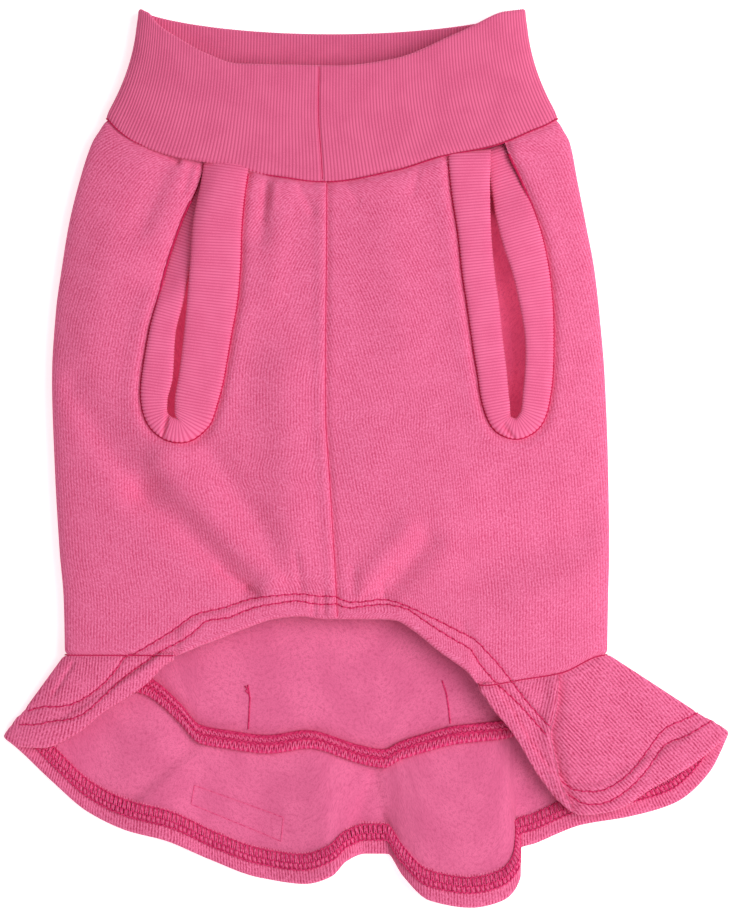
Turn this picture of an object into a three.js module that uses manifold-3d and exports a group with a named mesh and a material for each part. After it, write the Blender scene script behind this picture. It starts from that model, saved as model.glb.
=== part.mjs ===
// A dog dress of fleece-backed jersey, lying flat on its back with the belly side up.
// A wide ribbed neck band closes on a body that is one cloth wrapped round the chest,
// two folded ribbed bands line the leg openings, the belly edge is cut away in an arch
// with a turned hem, and a flared skirt runs from one end of the arch round the back to
// the other. Inside, the waist seam's overlocked allowance lies on the skirt.
//
// Millimetres, +Z up. +X is the right of the dress as seen from above, +Y runs to the
// neck. The origin is on the underside of the back, on the centre line, level with the
// lower end of the leg openings.

import * as THREE from "three";
import { mergeVertices } from "three/addons/utils/BufferGeometryUtils.js";
import Module from "manifold-3d";

const wasm = await Module();
wasm.setup();

// Lengths and widths, measured with the dress laid flat
const chestWidth = 200;
const shoulderY = 112;
const sideLength = 193;
const neckSeamWidth = 161;
const neckMouthWidth = 137.5;
const neckBandHeight = 39.5;
const skirtLength = 50;

// How far the edges dip or rise between the sides and the middle
const neckDrop = 23;
const backNeckDrop = 10;
const mouthDrop = 21;
const backMouthDrop = 8.5;
const bellyRise = 14;
const backDrop = 34;

// Heights above the surface that the dress lies on
const crownHeight = 13;
const sideHeight = 5.7;
const foldHeight = 2;
const ruffleHeight = 11;
const neckMouthHeight = 12;

// Cloth
const clothThickness = 1.7;
const neckBandThickness = 2.6;
const legBandThickness = 3.6;
const hemThickness = 3;
const hemDepth = 10;
const hemStep = 4;
const seamGap = 0.5;

// Leg openings
const legDepth = 112;
const legBandWidth = 18;
const legBandLift = 0.3;
const legBandOverrun = 12;

// Waist seam allowance, inside the back
const allowanceWidth = 6.5;
const allowanceThickness = 1.6;

// Form of the cloth: how far round its side folds roll, how steeply the back's neck
// edges dip to the middle, where the body reaches its full width, how far a sewn piece
// keeps the line of the body's wall, the turn over which the arch's hem starts, and how
// square the leg bands' sections are
const sideRoll = 0.35;
const backNeckCurve = 1.6;
const backMouthCurve = 1.4;
const fullestDown = 0.5;
const sewnShare = 0.25;
const archTurn = 4;
const bandSquareness = 0.6;

// How finely the cloth is divided
const frontColumns = 44;
const backColumns = 38;
const bodyRows = 14;
const neckRows = 4;
const skirtColumns = 108;
const skirtRows = 6;
const allowanceColumns = 48;
const bandStations = 40;
const bandSides = 10;

const jersey = { color: 0xe9688f, roughness: 0.92, metalness: 0 };
const rib = { color: 0xd85f88, roughness: 0.9, metalness: 0 };
const thread = { color: 0xc4366e, roughness: 0.8, metalness: 0 };

// Half width of the body, as shares of half the chest, against the share of the way
// from the neck seam to the lower edge.
const flanks = [
  { down: 0, left: 0.805, right: 0.805 },
  { down: 0.02, left: 0.825, right: 0.822 },
  { down: 0.045, left: 0.855, right: 0.848 },
  { down: 0.115, left: 0.9, right: 0.875 },
  { down: 0.2, left: 0.94, right: 0.907 },
  { down: 0.28, left: 0.965, right: 0.936 },
  { down: 0.36, left: 0.986, right: 0.954 },
  { down: 0.485, left: 1, right: 0.974 },
  { down: 0.65, left: 0.99, right: 0.986 },
  { down: 0.81, left: 0.972, right: 0.99 },
  { down: 0.895, left: 0.958, right: 0.986 },
  { down: 1, left: 0.954, right: 0.983 },
];

// Height of the front at its middle, as a share of crownHeight
const crowns = [
  { down: 0, height: 0.85 },
  { down: 0.2, height: 0.96 },
  { down: 0.5, height: 1 },
  { down: 0.8, height: 0.92 },
  { down: 1, height: 0.81 },
];

// Front neck seam, as a share of neckDrop, against degrees round from the centre front
const neckSeam = [
  { turn: -90, drop: 0 },
  { turn: -57, drop: 0.42 },
  { turn: -42, drop: 0.6 },
  { turn: -24, drop: 0.75 },
  { turn: -12, drop: 0.93 },
  { turn: 0, drop: 1 },
  { turn: 17.5, drop: 0.83 },
  { turn: 30.7, drop: 0.6 },
  { turn: 46, drop: 0.45 },
  { turn: 67, drop: 0.16 },
  { turn: 90, drop: 0 },
];

// Front edge of the neck's mouth, as a share of mouthDrop
const mouthEdge = [
  { turn: -90, drop: 0 },
  { turn: -73, drop: 0.06 },
  { turn: -64, drop: 0.26 },
  { turn: -49, drop: 0.55 },
  { turn: -37, drop: 0.8 },
  { turn: -26, drop: 0.96 },
  { turn: -5, drop: 0.98 },
  { turn: 6, drop: 0.99 },
  { turn: 22, drop: 0.88 },
  { turn: 43, drop: 0.44 },
  { turn: 66, drop: 0.05 },
  { turn: 90, drop: 0 },
];

// Front lower edge, as a share of bellyRise above the side waist, against the share of
// the half width. The belly arch lies between archLeft and archRight, and outside it
// this is the waist seam.
const bellyEdge = [
  { across: -1, rise: 0 },
  { across: -0.62, rise: 0 },
  { across: -0.5, rise: 0.27 },
  { across: -0.435, rise: 0.44 },
  { across: -0.34, rise: 0.7 },
  { across: -0.223, rise: 0.95 },
  { across: -0.14, rise: 1 },
  { across: -0.04, rise: 0.93 },
  { across: 0.15, rise: 0.93 },
  { across: 0.21, rise: 0.9 },
  { across: 0.274, rise: 0.66 },
  { across: 0.372, rise: 0.11 },
  { across: 0.47, rise: -0.37 },
  { across: 0.535, rise: -0.76 },
  { across: 0.7, rise: -0.6 },
  { across: 0.83, rise: -0.45 },
  { across: 1, rise: 0 },
];
const archLeft = -38.5;
const archRight = 33.5;

// Back waist seam, as a share of backDrop below the side waist
const backSeam = [
  { across: -1, drop: 0 },
  { across: -0.9, drop: 0.08 },
  { across: -0.8, drop: 0.15 },
  { across: -0.69, drop: 0.25 },
  { across: -0.58, drop: 0.51 },
  { across: -0.5, drop: 0.75 },
  { across: -0.39, drop: 0.81 },
  { across: -0.24, drop: 0.86 },
  { across: -0.1, drop: 0.81 },
  { across: 0.095, drop: 0.96 },
  { across: 0.19, drop: 1.01 },
  { across: 0.25, drop: 0.93 },
  { across: 0.35, drop: 0.84 },
  { across: 0.44, drop: 0.77 },
  { across: 0.63, drop: 0.7 },
  { across: 0.75, drop: 0.53 },
  { across: 0.87, drop: 0.3 },
  { across: 1, drop: 0 },
];

// Folds of the front. Each runs from one place to another, across as a share of half
// the chest and down as a share of the side length. Its height is a share of foldHeight,
// a hollow's is negative, and its spread is a share of half the chest.
const folds = [
  { across: -0.93, down: 0.51, toAcross: -0.68, toDown: 0.7, height: -0.8, spread: 0.07 },
  { across: -0.68, down: 0.7, toAcross: -0.31, toDown: 0.87, height: -0.9, spread: 0.07 },
  { across: -0.6, down: 0.64, toAcross: -0.24, toDown: 0.86, height: 0.8, spread: 0.08 },
  { across: -0.16, down: 0.5, toAcross: -0.14, toDown: 0.84, height: 0.7, spread: 0.11 },
  { across: 0.15, down: 0.65, toAcross: 0.4, toDown: 0.7, height: 0.8, spread: 0.17 },
  { across: 0.34, down: 0.79, toAcross: 0.19, toDown: 0.88, height: -0.7, spread: 0.06 },
  { across: 0.53, down: 0.83, toAcross: 0.89, toDown: 0.77, height: -0.5, spread: 0.12 },
  { across: -0.58, down: 0.08, toAcross: -0.68, toDown: 0.2, height: -0.5, spread: 0.06 },
  { across: -0.47, down: 0.08, toAcross: -0.62, toDown: 0.3, height: -0.8, spread: 0.06 },
  { across: -0.24, down: 0.14, toAcross: -0.25, toDown: 0.2, height: -0.5, spread: 0.05 },
];

// Skirt hem. Across is a share of half the chest, fall a share of skirtLength below the
// side waist, and rise a share of ruffleHeight. The turns pass the back at 180.
const skirtHem = [
  { turn: 34.5, across: 0.57, fall: 0.29, rise: 0.68 },
  { turn: 38, across: 0.65, fall: 0.56, rise: 0.62 },
  { turn: 43, across: 0.75, fall: 0.89, rise: 0.55 },
  { turn: 48, across: 0.82, fall: 1.06, rise: 0.5 },
  { turn: 53, across: 0.9, fall: 1.15, rise: 0.59 },
  { turn: 58, across: 1.01, fall: 1.12, rise: 0.64 },
  { turn: 66, across: 1.15, fall: 0.96, rise: 0.59 },
  { turn: 74, across: 1.29, fall: 0.8, rise: 0.5 },
  { turn: 83, across: 1.375, fall: 0.67, rise: 0.41 },
  { turn: 90, across: 1.428, fall: 0.58, rise: 0.18 },
  { turn: 97, across: 1.37, fall: 0.83, rise: 0.01 },
  { turn: 106, across: 1.24, fall: 1.07, rise: 0.03 },
  { turn: 116, across: 1.07, fall: 1.17, rise: 0.13 },
  { turn: 126, across: 0.9, fall: 1.23, rise: 0.09 },
  { turn: 134, across: 0.74, fall: 1.36, rise: 0.01 },
  { turn: 139, across: 0.665, fall: 1.42, rise: 0.07 },
  { turn: 143, across: 0.668, fall: 1.62, rise: 0.45 },
  { turn: 147, across: 0.625, fall: 1.75, rise: 0.73 },
  { turn: 153, across: 0.5, fall: 1.81, rise: 0.86 },
  { turn: 160, across: 0.35, fall: 1.76, rise: 0.77 },
  { turn: 165, across: 0.26, fall: 1.6, rise: 0.41 },
  { turn: 169, across: 0.2, fall: 1.44, rise: 0.04 },
  { turn: 174, across: 0.12, fall: 1.44, rise: 0.01 },
  { turn: 179, across: 0.05, fall: 1.49, rise: 0.36 },
  { turn: 184, across: 0, fall: 1.59, rise: 0.59 },
  { turn: 190, across: -0.1, fall: 1.65, rise: 0.41 },
  { turn: 198, across: -0.26, fall: 1.61, rise: 0.14 },
  { turn: 208, across: -0.44, fall: 1.48, rise: 0.14 },
  { turn: 216, across: -0.6, fall: 1.34, rise: 0.32 },
  { turn: 226, across: -0.74, fall: 1.27, rise: 0.18 },
  { turn: 238, across: -0.88, fall: 1.14, rise: 0 },
  { turn: 250, across: -1.01, fall: 0.92, rise: 0 },
  { turn: 262, across: -1.125, fall: 0.7, rise: 0.02 },
  { turn: 270, across: -1.177, fall: 0.61, rise: 0.18 },
  { turn: 278, across: -1.13, fall: 0.66, rise: 0.32 },
  { turn: 288, across: -1.04, fall: 0.67, rise: 0.41 },
  { turn: 298, across: -0.92, fall: 0.57, rise: 0.45 },
  { turn: 308, across: -0.828, fall: 0.42, rise: 0.5 },
  { turn: 317, across: -0.68, fall: 0.22, rise: 0.55 },
  { turn: 321.5, across: -0.615, fall: 0.06, rise: 0.55 },
];
const allowanceEnds = [102, 258];

// Leg bands, from the neck seam down one arm, round the lower end and up the other.
// Across is a share of half the chest, down a share of legDepth below the shoulder,
// width a share of legBandWidth, and sink 1 where an arm lies beneath the other.
const leftBandPath = [
  { across: -0.41, down: 0.125, width: 0.5, sink: 1 },
  { across: -0.44, down: 0.219, width: 0.5, sink: 1 },
  { across: -0.5, down: 0.341, width: 0.5, sink: 1 },
  { across: -0.55, down: 0.476, width: 0.51, sink: 0.8 },
  { across: -0.58, down: 0.59, width: 0.51, sink: 0.3 },
  { across: -0.611, down: 0.679, width: 0.45, sink: 0 },
  { across: -0.634, down: 0.827, width: 0.5, sink: 0 },
  { across: -0.639, down: 0.902, width: 0.48, sink: 0 },
  { across: -0.623, down: 0.964, width: 0.45, sink: 0 },
  { across: -0.58, down: 0.996, width: 0.46, sink: 0 },
  { across: -0.53, down: 0.996, width: 0.53, sink: 0 },
  { across: -0.5, down: 0.957, width: 0.76, sink: 0 },
  { across: -0.48, down: 0.893, width: 0.82, sink: 0 },
  { across: -0.46, down: 0.827, width: 0.81, sink: 0 },
  { across: -0.437, down: 0.679, width: 0.89, sink: 0 },
  { across: -0.43, down: 0.59, width: 0.99, sink: 0 },
  { across: -0.419, down: 0.476, width: 1, sink: 0 },
  { across: -0.411, down: 0.341, width: 0.97, sink: 0 },
  { across: -0.391, down: 0.219, width: 0.9, sink: 0 },
  { across: -0.375, down: 0.125, width: 0.91, sink: 0 },
];
const rightBandPath = [
  { across: 0.494, down: 0.119, width: 0.85, sink: 0 },
  { across: 0.498, down: 0.223, width: 0.77, sink: 0 },
  { across: 0.513, down: 0.375, width: 0.655, sink: 0 },
  { across: 0.525, down: 0.489, width: 0.64, sink: 0 },
  { across: 0.543, down: 0.602, width: 0.63, sink: 0 },
  { across: 0.559, down: 0.717, width: 0.605, sink: 0 },
  { across: 0.574, down: 0.811, width: 0.58, sink: 0 },
  { across: 0.589, down: 0.911, width: 0.54, sink: 0 },
  { across: 0.612, down: 0.977, width: 0.42, sink: 0 },
  { across: 0.665, down: 0.995, width: 0.41, sink: 0 },
  { across: 0.713, down: 0.962, width: 0.49, sink: 0 },
  { across: 0.736, down: 0.868, width: 0.56, sink: 0 },
  { across: 0.744, down: 0.723, width: 0.565, sink: 0 },
  { across: 0.73, down: 0.581, width: 0.67, sink: 0 },
  { across: 0.705, down: 0.473, width: 0.78, sink: 0 },
  { across: 0.677, down: 0.402, width: 0.88, sink: 0 },
  { across: 0.656, down: 0.33, width: 0.84, sink: 0.25 },
  { across: 0.625, down: 0.208, width: 0.63, sink: 0.8 },
  { across: 0.595, down: 0.125, width: 0.5, sink: 1 },
];

const degrees = THREE.MathUtils.degToRad;
const { lerp, clamp, smoothstep } = THREE.MathUtils;
const halfChest = chestWidth / 2;
const waistY = shoulderY - sideLength;

// Reads one column of a table between its rows, smoothly and without overshoot. It is
// level at both ends of the table.
function column(rows, at, key) {
  const steps = rows.slice(1).map((row, i) => row[at] - rows[i][at]);
  const rates = steps.map((step, i) => (rows[i + 1][key] - rows[i][key]) / step);
  const slopes = rows.map((row, i) => {
    const before = rates[i - 1] ?? 0;
    const after = rates[i] ?? 0;
    return before * after > 0 ? (2 * before * after) / (before + after) : 0;
  });
  return (value) => {
    const x = clamp(value, rows[0][at], rows[rows.length - 1][at]);
    let i = 0;
    while (i < steps.length - 1 && x > rows[i + 1][at]) i++;
    const t = (x - rows[i][at]) / steps[i];
    const rise = rows[i + 1][key] - rows[i][key];
    const from = slopes[i] * steps[i];
    const to = slopes[i + 1] * steps[i];
    const eased = t * t * (3 - 2 * t) * rise;
    return rows[i][key] + eased + t * (1 - t) * ((1 - t) * from - t * to);
  };
}

const flankLeft = column(flanks, "down", "left");
const flankRight = column(flanks, "down", "right");
const crown = column(crowns, "down", "height");
const seamDrop = column(neckSeam, "turn", "drop");
const edgeDrop = column(mouthEdge, "turn", "drop");
const edgeRise = column(bellyEdge, "across", "rise");
const seatDrop = column(backSeam, "across", "drop");
const hemAcross = column(skirtHem, "turn", "across");
const hemFall = column(skirtHem, "turn", "fall");
const hemRise = column(skirtHem, "turn", "rise");

// The turn of an angle from the centre front, from -180 to 180 degrees
function turnOf(theta) {
  return THREE.MathUtils.euclideanModulo(THREE.MathUtils.radToDeg(theta) + 180, 360) - 180;
}

// Height of the middle of the wall. The back lies on the surface and the front is
// crowned over it, and both meet at the side folds.
function wallHeight(theta, top, thickness) {
  const facing = Math.cos(theta);
  const across = Math.sin(theta);
  if (facing > 0) {
    return sideHeight + (top - sideHeight) * facing * Math.hypot(1, across);
  }
  const roll = 1 - clamp(-facing / sideRoll, 0, 1);
  return lerp(sideHeight, thickness / 2, Math.sqrt(1 - roll * roll));
}

function neckSeamY(theta) {
  const facing = Math.cos(theta);
  if (facing > 0) return shoulderY - neckDrop * seamDrop(turnOf(theta));
  return shoulderY - backNeckDrop * (-facing) ** backNeckCurve;
}

function mouthY(theta) {
  const facing = Math.cos(theta);
  const tips = shoulderY + neckBandHeight;
  if (facing > 0) return tips - mouthDrop * edgeDrop(turnOf(theta));
  return tips - backMouthDrop * (-facing) ** backMouthCurve;
}

function lowerEdgeY(theta) {
  const across = Math.sin(theta);
  if (Math.cos(theta) > 0) return waistY + bellyRise * edgeRise(across);
  return waistY - backDrop * seatDrop(across);
}

// The half width of the neck seam is the tables' first row, whatever its own size.
const neckShare = neckSeamWidth / chestWidth / flanks[0].left;

function bodyHalfWidth(across, down) {
  const share = across < 0 ? flankLeft(down) : flankRight(down);
  return halfChest * share * lerp(neckShare, 1, smoothstep(down, 0, fullestDown));
}

// How far the folds lift or sink the front at a place
function foldLift(x, y) {
  let lift = 0;
  for (const fold of folds) {
    const from = new THREE.Vector2(fold.across * halfChest, shoulderY - fold.down * sideLength);
    const to = new THREE.Vector2(fold.toAcross * halfChest, shoulderY - fold.toDown * sideLength);
    const run = to.clone().sub(from);
    const place = new THREE.Vector2(x, y).sub(from);
    const along = clamp(place.dot(run) / run.lengthSq(), 0, 1);
    const away = place.distanceTo(run.multiplyScalar(along)) / (fold.spread * halfChest);
    lift += foldHeight * fold.height * Math.exp(-away * away);
  }
  return lift;
}

function bodyPoint(theta, down) {
  const across = Math.sin(theta);
  const x = across * bodyHalfWidth(across, down);
  const y = lerp(neckSeamY(theta) - seamGap / 2, lowerEdgeY(theta), down);
  const z = wallHeight(theta, crownHeight * crown(down), clothThickness);
  const folded = smoothstep(Math.cos(theta), 0.05, 0.5) * foldLift(x, y);
  return new THREE.Vector3(x, y, z + folded);
}

function neckPoint(theta, up) {
  const opened = 1 - (1 - up) ** 2;
  const x = Math.sin(theta) * lerp(neckSeamWidth, neckMouthWidth, opened) / 2;
  const y = lerp(neckSeamY(theta) + seamGap / 2, mouthY(theta), up);
  const top = lerp(crownHeight * crown(0), neckMouthHeight, up);
  return new THREE.Vector3(x, y, wallHeight(theta, top, neckBandThickness));
}

// The skirt's underside at the hem
function hemPoint(theta) {
  const turn = THREE.MathUtils.euclideanModulo(THREE.MathUtils.radToDeg(theta), 360);
  return new THREE.Vector3(
    halfChest * hemAcross(turn),
    waistY - skirtLength * hemFall(turn),
    ruffleHeight * hemRise(turn),
  );
}

// The skirt's underside at the waist seam
function waistPoint(theta) {
  const seam = bodyPoint(theta, 1);
  seam.z -= clothThickness / 2;
  return seam;
}

function skirtFall(theta) {
  return waistPoint(theta).distanceTo(hemPoint(theta));
}

function skirtThickness(theta, down) {
  return hemmed((1 - down) * skirtFall(theta), 1);
}

function skirtPoint(theta, down) {
  const point = waistPoint(theta).lerp(hemPoint(theta), lerp(seamGap / skirtFall(theta), 1, down));
  point.z += skirtThickness(theta, down) / 2;
  return point;
}

// Direction out of the wall at a place on a surface of turn and share. The turn runs
// clockwise from the neck, so the way down crossed with the turn points outwards.
function outward(surface, theta, share) {
  const step = 0.004;
  const low = Math.max(share - step, 0);
  const high = Math.min(share + step, 1);
  const around = surface(theta + step, share).sub(surface(theta - step, share));
  const along = surface(theta, high).sub(surface(theta, low));
  return along.cross(around).normalize();
}

// A piece that is sewn to the body starts in line with the body's own wall there.
function sewnOutward(own, bodyShare) {
  return (theta, share) =>
    outward(bodyPoint, theta, bodyShare)
      .lerp(own(theta, share), smoothstep(share, 0, sewnShare))
      .normalize();
}

const bodyOutward = (theta, down) => outward(bodyPoint, theta, down);
const neckOutward = sewnOutward((theta, up) => outward(neckPoint, theta, up).negate(), 0);
const skirtOutward = sewnOutward((theta, down) => outward(skirtPoint, theta, down), 1);

// The wall's section at one turn: along its outside and back along its inside
function wallSection(surface, outwardOf, theta, shares, thickness) {
  const outside = [];
  const inside = [];
  for (const share of shares) {
    const middle = surface(theta, share);
    const away = outwardOf(theta, share).multiplyScalar(thickness(theta, share) / 2);
    outside.push(middle.clone().add(away));
    inside.unshift(middle.sub(away));
  }
  return [...outside, ...inside];
}

// Joins section loops of equal length into one closed surface. A loft that isn't
// closed on itself gets a ladder of faces over each end.
function loft(sections, closed) {
  const ring = sections[0].length;
  const count = sections.length;
  const index = [];
  for (let i = 0; i < (closed ? count : count - 1); i++) {
    const here = i * ring;
    const next = ((i + 1) % count) * ring;
    for (let j = 0; j < ring; j++) {
      const k = (j + 1) % ring;
      index.push(here + j, next + j, next + k);
      index.push(here + j, next + k, here + k);
    }
  }
  for (let j = 0; !closed && j < ring / 2 - 1; j++) {
    const last = (count - 1) * ring;
    const far = ring - 1 - j;
    index.push(j, j + 1, far - 1);
    index.push(j, far - 1, far);
    index.push(last + j, last + far - 1, last + j + 1);
    index.push(last + j, last + far, last + far - 1);
  }
  const geometry = new THREE.BufferGeometry().setFromPoints(sections.flat());
  geometry.setIndex(index);
  return geometry;
}

function evenly(from, to, count) {
  return Array.from({ length: count + 1 }, (_, i) => lerp(from, to, i / count));
}

// Shares from 0 to 1, closer together towards both ends
function gathered(count) {
  return evenly(0, 1, count).map((t) => (t + 0.5 - 0.5 * Math.cos(Math.PI * t)) / 2);
}

function aroundTurns() {
  const front = evenly(-90, 90, frontColumns);
  const back = evenly(90, 270, backColumns).slice(1, -1);
  return [...front, ...back].map(degrees);
}

function solidOf(geometry) {
  const bare = geometry.clone();
  bare.deleteAttribute("normal");
  bare.deleteAttribute("uv");
  const merged = mergeVertices(bare, 1e-4);
  const made = new wasm.Manifold(
    new wasm.Mesh({
      numProp: 3,
      vertProperties: merged.attributes.position.array,
      triVerts: new Uint32Array(merged.index.array),
    }),
  );
  if (made.volume() >= 0) return made;
  const flipped = new Uint32Array(merged.index.array).reverse();
  return new wasm.Manifold(
    new wasm.Mesh({
      numProp: 3,
      vertProperties: merged.attributes.position.array,
      triVerts: flipped,
    }),
  );
}

function geometryOf(solid) {
  const mesh = solid.getMesh();
  const geometry = new THREE.BufferGeometry();
  geometry.setAttribute("position", new THREE.BufferAttribute(mesh.vertProperties, 3));
  geometry.setIndex(new THREE.BufferAttribute(mesh.triVerts, 1));
  geometry.computeVertexNormals();
  return geometry;
}

// An upright block of a flat outline, between two heights
function block(outline, from, to) {
  const shape = new THREE.Shape(outline);
  const geometry = new THREE.ExtrudeGeometry(shape, { depth: to - from, bevelEnabled: false });
  return solidOf(geometry.translate(0, 0, from));
}

function piece(name, solid, finish) {
  const mesh = new THREE.Mesh(geometryOf(solid), new THREE.MeshStandardMaterial(finish));
  mesh.name = name;
  return mesh;
}

// Height of the middle of the front at a place on it
function frontHeight(x, y) {
  let theta = 0;
  let down = 0.3;
  for (let pass = 0; pass < 8; pass++) {
    theta = Math.asin(clamp(x / bodyHalfWidth(x, down), -1, 1));
    const top = neckSeamY(theta);
    down = clamp((top - y) / (top - lowerEdgeY(theta)), 0, 1);
  }
  return bodyPoint(theta, down).z;
}

// Stations along a leg band's middle line, run on past the neck seam at both ends
function bandStationsOf(path) {
  const places = path.map(
    (row) => new THREE.Vector3(row.across * halfChest, shoulderY - row.down * legDepth, 0),
  );
  const shapes = path.map((row) => new THREE.Vector3(row.width * legBandWidth, row.sink, 0));
  const runOn = (end, before) =>
    end.clone().add(end.clone().sub(before).setLength(legBandOverrun));
  places.unshift(runOn(places[0], places[1]));
  shapes.unshift(shapes[0].clone());
  places.push(runOn(places.at(-1), places.at(-2)));
  shapes.push(shapes.at(-1).clone());
  const middle = new THREE.CatmullRomCurve3(places, false, "centripetal");
  const form = new THREE.CatmullRomCurve3(shapes, false, "catmullrom", 0.4);
  return evenly(0, 1, bandStations).map((t) => {
    const heading = middle.getTangent(t);
    const { x: width, y: sink } = form.getPoint(t);
    const side = new THREE.Vector3(heading.y, -heading.x, 0).normalize();
    return { place: middle.getPoint(t), side, width, sink: clamp(sink, 0, 1) };
  });
}

// The band is a flattened tube that follows the front. Its arm that lies beneath the
// other is lower by the band's thickness.
function bandSolid(stations) {
  const sections = stations.map(({ place, side, width, sink }) =>
    evenly(0, 1, bandSides)
      .slice(0, -1)
      .map((t) => {
        const angle = 2 * Math.PI * (t + 0.5 / bandSides);
        const out = Math.sign(Math.cos(angle)) * Math.abs(Math.cos(angle)) ** bandSquareness;
        const up = Math.sign(Math.sin(angle)) * Math.abs(Math.sin(angle)) ** bandSquareness;
        const point = place.clone().addScaledVector(side, (out * width) / 2);
        const seat = frontHeight(point.x, point.y) + legBandLift;
        point.z = seat - sink * (legBandThickness + seamGap) + (up * legBandThickness) / 2;
        return point;
      }),
  );
  return solidOf(loft(sections, false));
}

// The outer edges of a leg band, widened by the seam's gap
function bandOutline(stations) {
  const outer = (side) =>
    stations.map((station) =>
      station.place.clone().addScaledVector(station.side, side * (station.width / 2 + seamGap)),
    );
  const left = outer(1);
  const right = outer(-1);
  const area = (points) => Math.abs(THREE.ShapeUtils.area(points));
  const chosen = area(left) > area(right) ? left : right;
  return chosen.map((point) => new THREE.Vector2(point.x, point.y));
}

// Everything above the neck seam
function aboveNeckSeam() {
  const seam = evenly(-90, 90, frontColumns).map((turn) => {
    const theta = degrees(turn);
    const place = bodyPoint(theta, 0);
    return new THREE.Vector2(place.x, place.y);
  });
  const beyond = shoulderY + neckBandHeight;
  seam.push(new THREE.Vector2(halfChest, beyond), new THREE.Vector2(-halfChest, beyond));
  return block(seam, -crownHeight, 3 * crownHeight);
}

// Cloth, and thicker turned cloth within the hem's depth of an edge
function hemmed(reach, share) {
  const turned = smoothstep(-reach, -hemDepth - hemStep / 2, hemStep / 2 - hemDepth);
  return lerp(clothThickness, hemThickness, turned * share);
}

function bodyThickness(theta, down) {
  const turn = turnOf(theta);
  const fromLeft = smoothstep(turn, archLeft, archLeft + archTurn);
  const fromRight = smoothstep(-turn, -archRight, archTurn - archRight);
  const reach = (1 - down) * (neckSeamY(theta) - lowerEdgeY(theta));
  return hemmed(reach, fromLeft * fromRight);
}

const leftStations = bandStationsOf(leftBandPath);
const rightStations = bandStationsOf(rightBandPath);

function body() {
  const shares = gathered(bodyRows);
  const sections = aroundTurns().map((theta) =>
    wallSection(bodyPoint, bodyOutward, theta, shares, bodyThickness),
  );
  let solid = solidOf(loft(sections, true));
  for (const stations of [leftStations, rightStations]) {
    solid = solid.subtract(block(bandOutline(stations), sideHeight, 3 * crownHeight));
  }
  return piece("body", solid, jersey);
}

function neckBand() {
  const shares = evenly(0, 1, neckRows);
  const thickness = (theta, up) => neckBandThickness * (1 - 0.3 * smoothstep(up, 0.8, 1));
  const sections = aroundTurns().map((theta) =>
    wallSection(neckPoint, neckOutward, theta, shares, thickness),
  );
  return piece("neck_band", solidOf(loft(sections, true)), rib);
}

function legBand(name, stations) {
  return piece(name, bandSolid(stations).subtract(aboveNeckSeam()), rib);
}

function skirt() {
  const shares = evenly(0, 1, skirtRows);
  const turns = evenly(skirtHem[0].turn, skirtHem.at(-1).turn, skirtColumns).map(degrees);
  const sections = turns.map((theta) =>
    wallSection(skirtPoint, skirtOutward, theta, shares, skirtThickness),
  );
  return piece("skirt", solidOf(loft(sections, false)), jersey);
}

// The allowance lies on the inside of the skirt, from the waist seam towards the hem.
function seamAllowance() {
  const surface = (theta, share) => {
    const down = (share * allowanceWidth) / skirtFall(theta);
    const lift = clothThickness / 2 + seamGap + allowanceThickness / 2;
    return skirtPoint(theta, down).addScaledVector(skirtOutward(theta, down), -lift);
  };
  const away = (theta, share) => outward(surface, theta, share);
  const turns = evenly(...allowanceEnds, allowanceColumns).map(degrees);
  const sections = turns.map((theta) =>
    wallSection(surface, away, theta, [0, 0.5, 1], () => allowanceThickness),
  );
  return piece("skirt_seam_allowance", solidOf(loft(sections, false)), thread);
}

const dress = new THREE.Group();
dress.add(
  body(),
  neckBand(),
  legBand("leg_band_left", leftStations),
  legBand("leg_band_right", rightStations),
  skirt(),
  seamAllowance(),
);

export default dress;
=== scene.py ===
"""The looks of a dog dress of fleece-backed jersey that lies flat on its back.

Lengths in this script are millimetres until a mesh is made, which is in metres.
+X is the right of the dress as seen from above, +Y runs to the neck and +Z is up.
A turn is an angle round the dress from the centre front, and the back is at 180.
"""

import math

import bmesh
import bpy
import numpy as np
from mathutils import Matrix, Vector


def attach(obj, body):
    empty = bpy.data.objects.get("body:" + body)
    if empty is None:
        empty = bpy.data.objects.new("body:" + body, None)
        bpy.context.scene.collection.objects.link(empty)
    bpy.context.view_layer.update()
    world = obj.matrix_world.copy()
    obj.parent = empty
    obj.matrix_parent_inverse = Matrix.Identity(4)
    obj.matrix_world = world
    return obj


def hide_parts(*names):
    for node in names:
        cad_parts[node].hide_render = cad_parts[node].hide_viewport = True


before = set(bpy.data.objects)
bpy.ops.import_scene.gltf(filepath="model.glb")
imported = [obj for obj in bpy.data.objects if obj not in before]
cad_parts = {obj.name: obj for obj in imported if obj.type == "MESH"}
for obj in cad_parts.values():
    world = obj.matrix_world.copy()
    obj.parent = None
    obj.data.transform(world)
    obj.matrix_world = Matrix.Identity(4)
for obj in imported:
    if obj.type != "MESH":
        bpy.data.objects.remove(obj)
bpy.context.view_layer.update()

MM = 0.001

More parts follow.
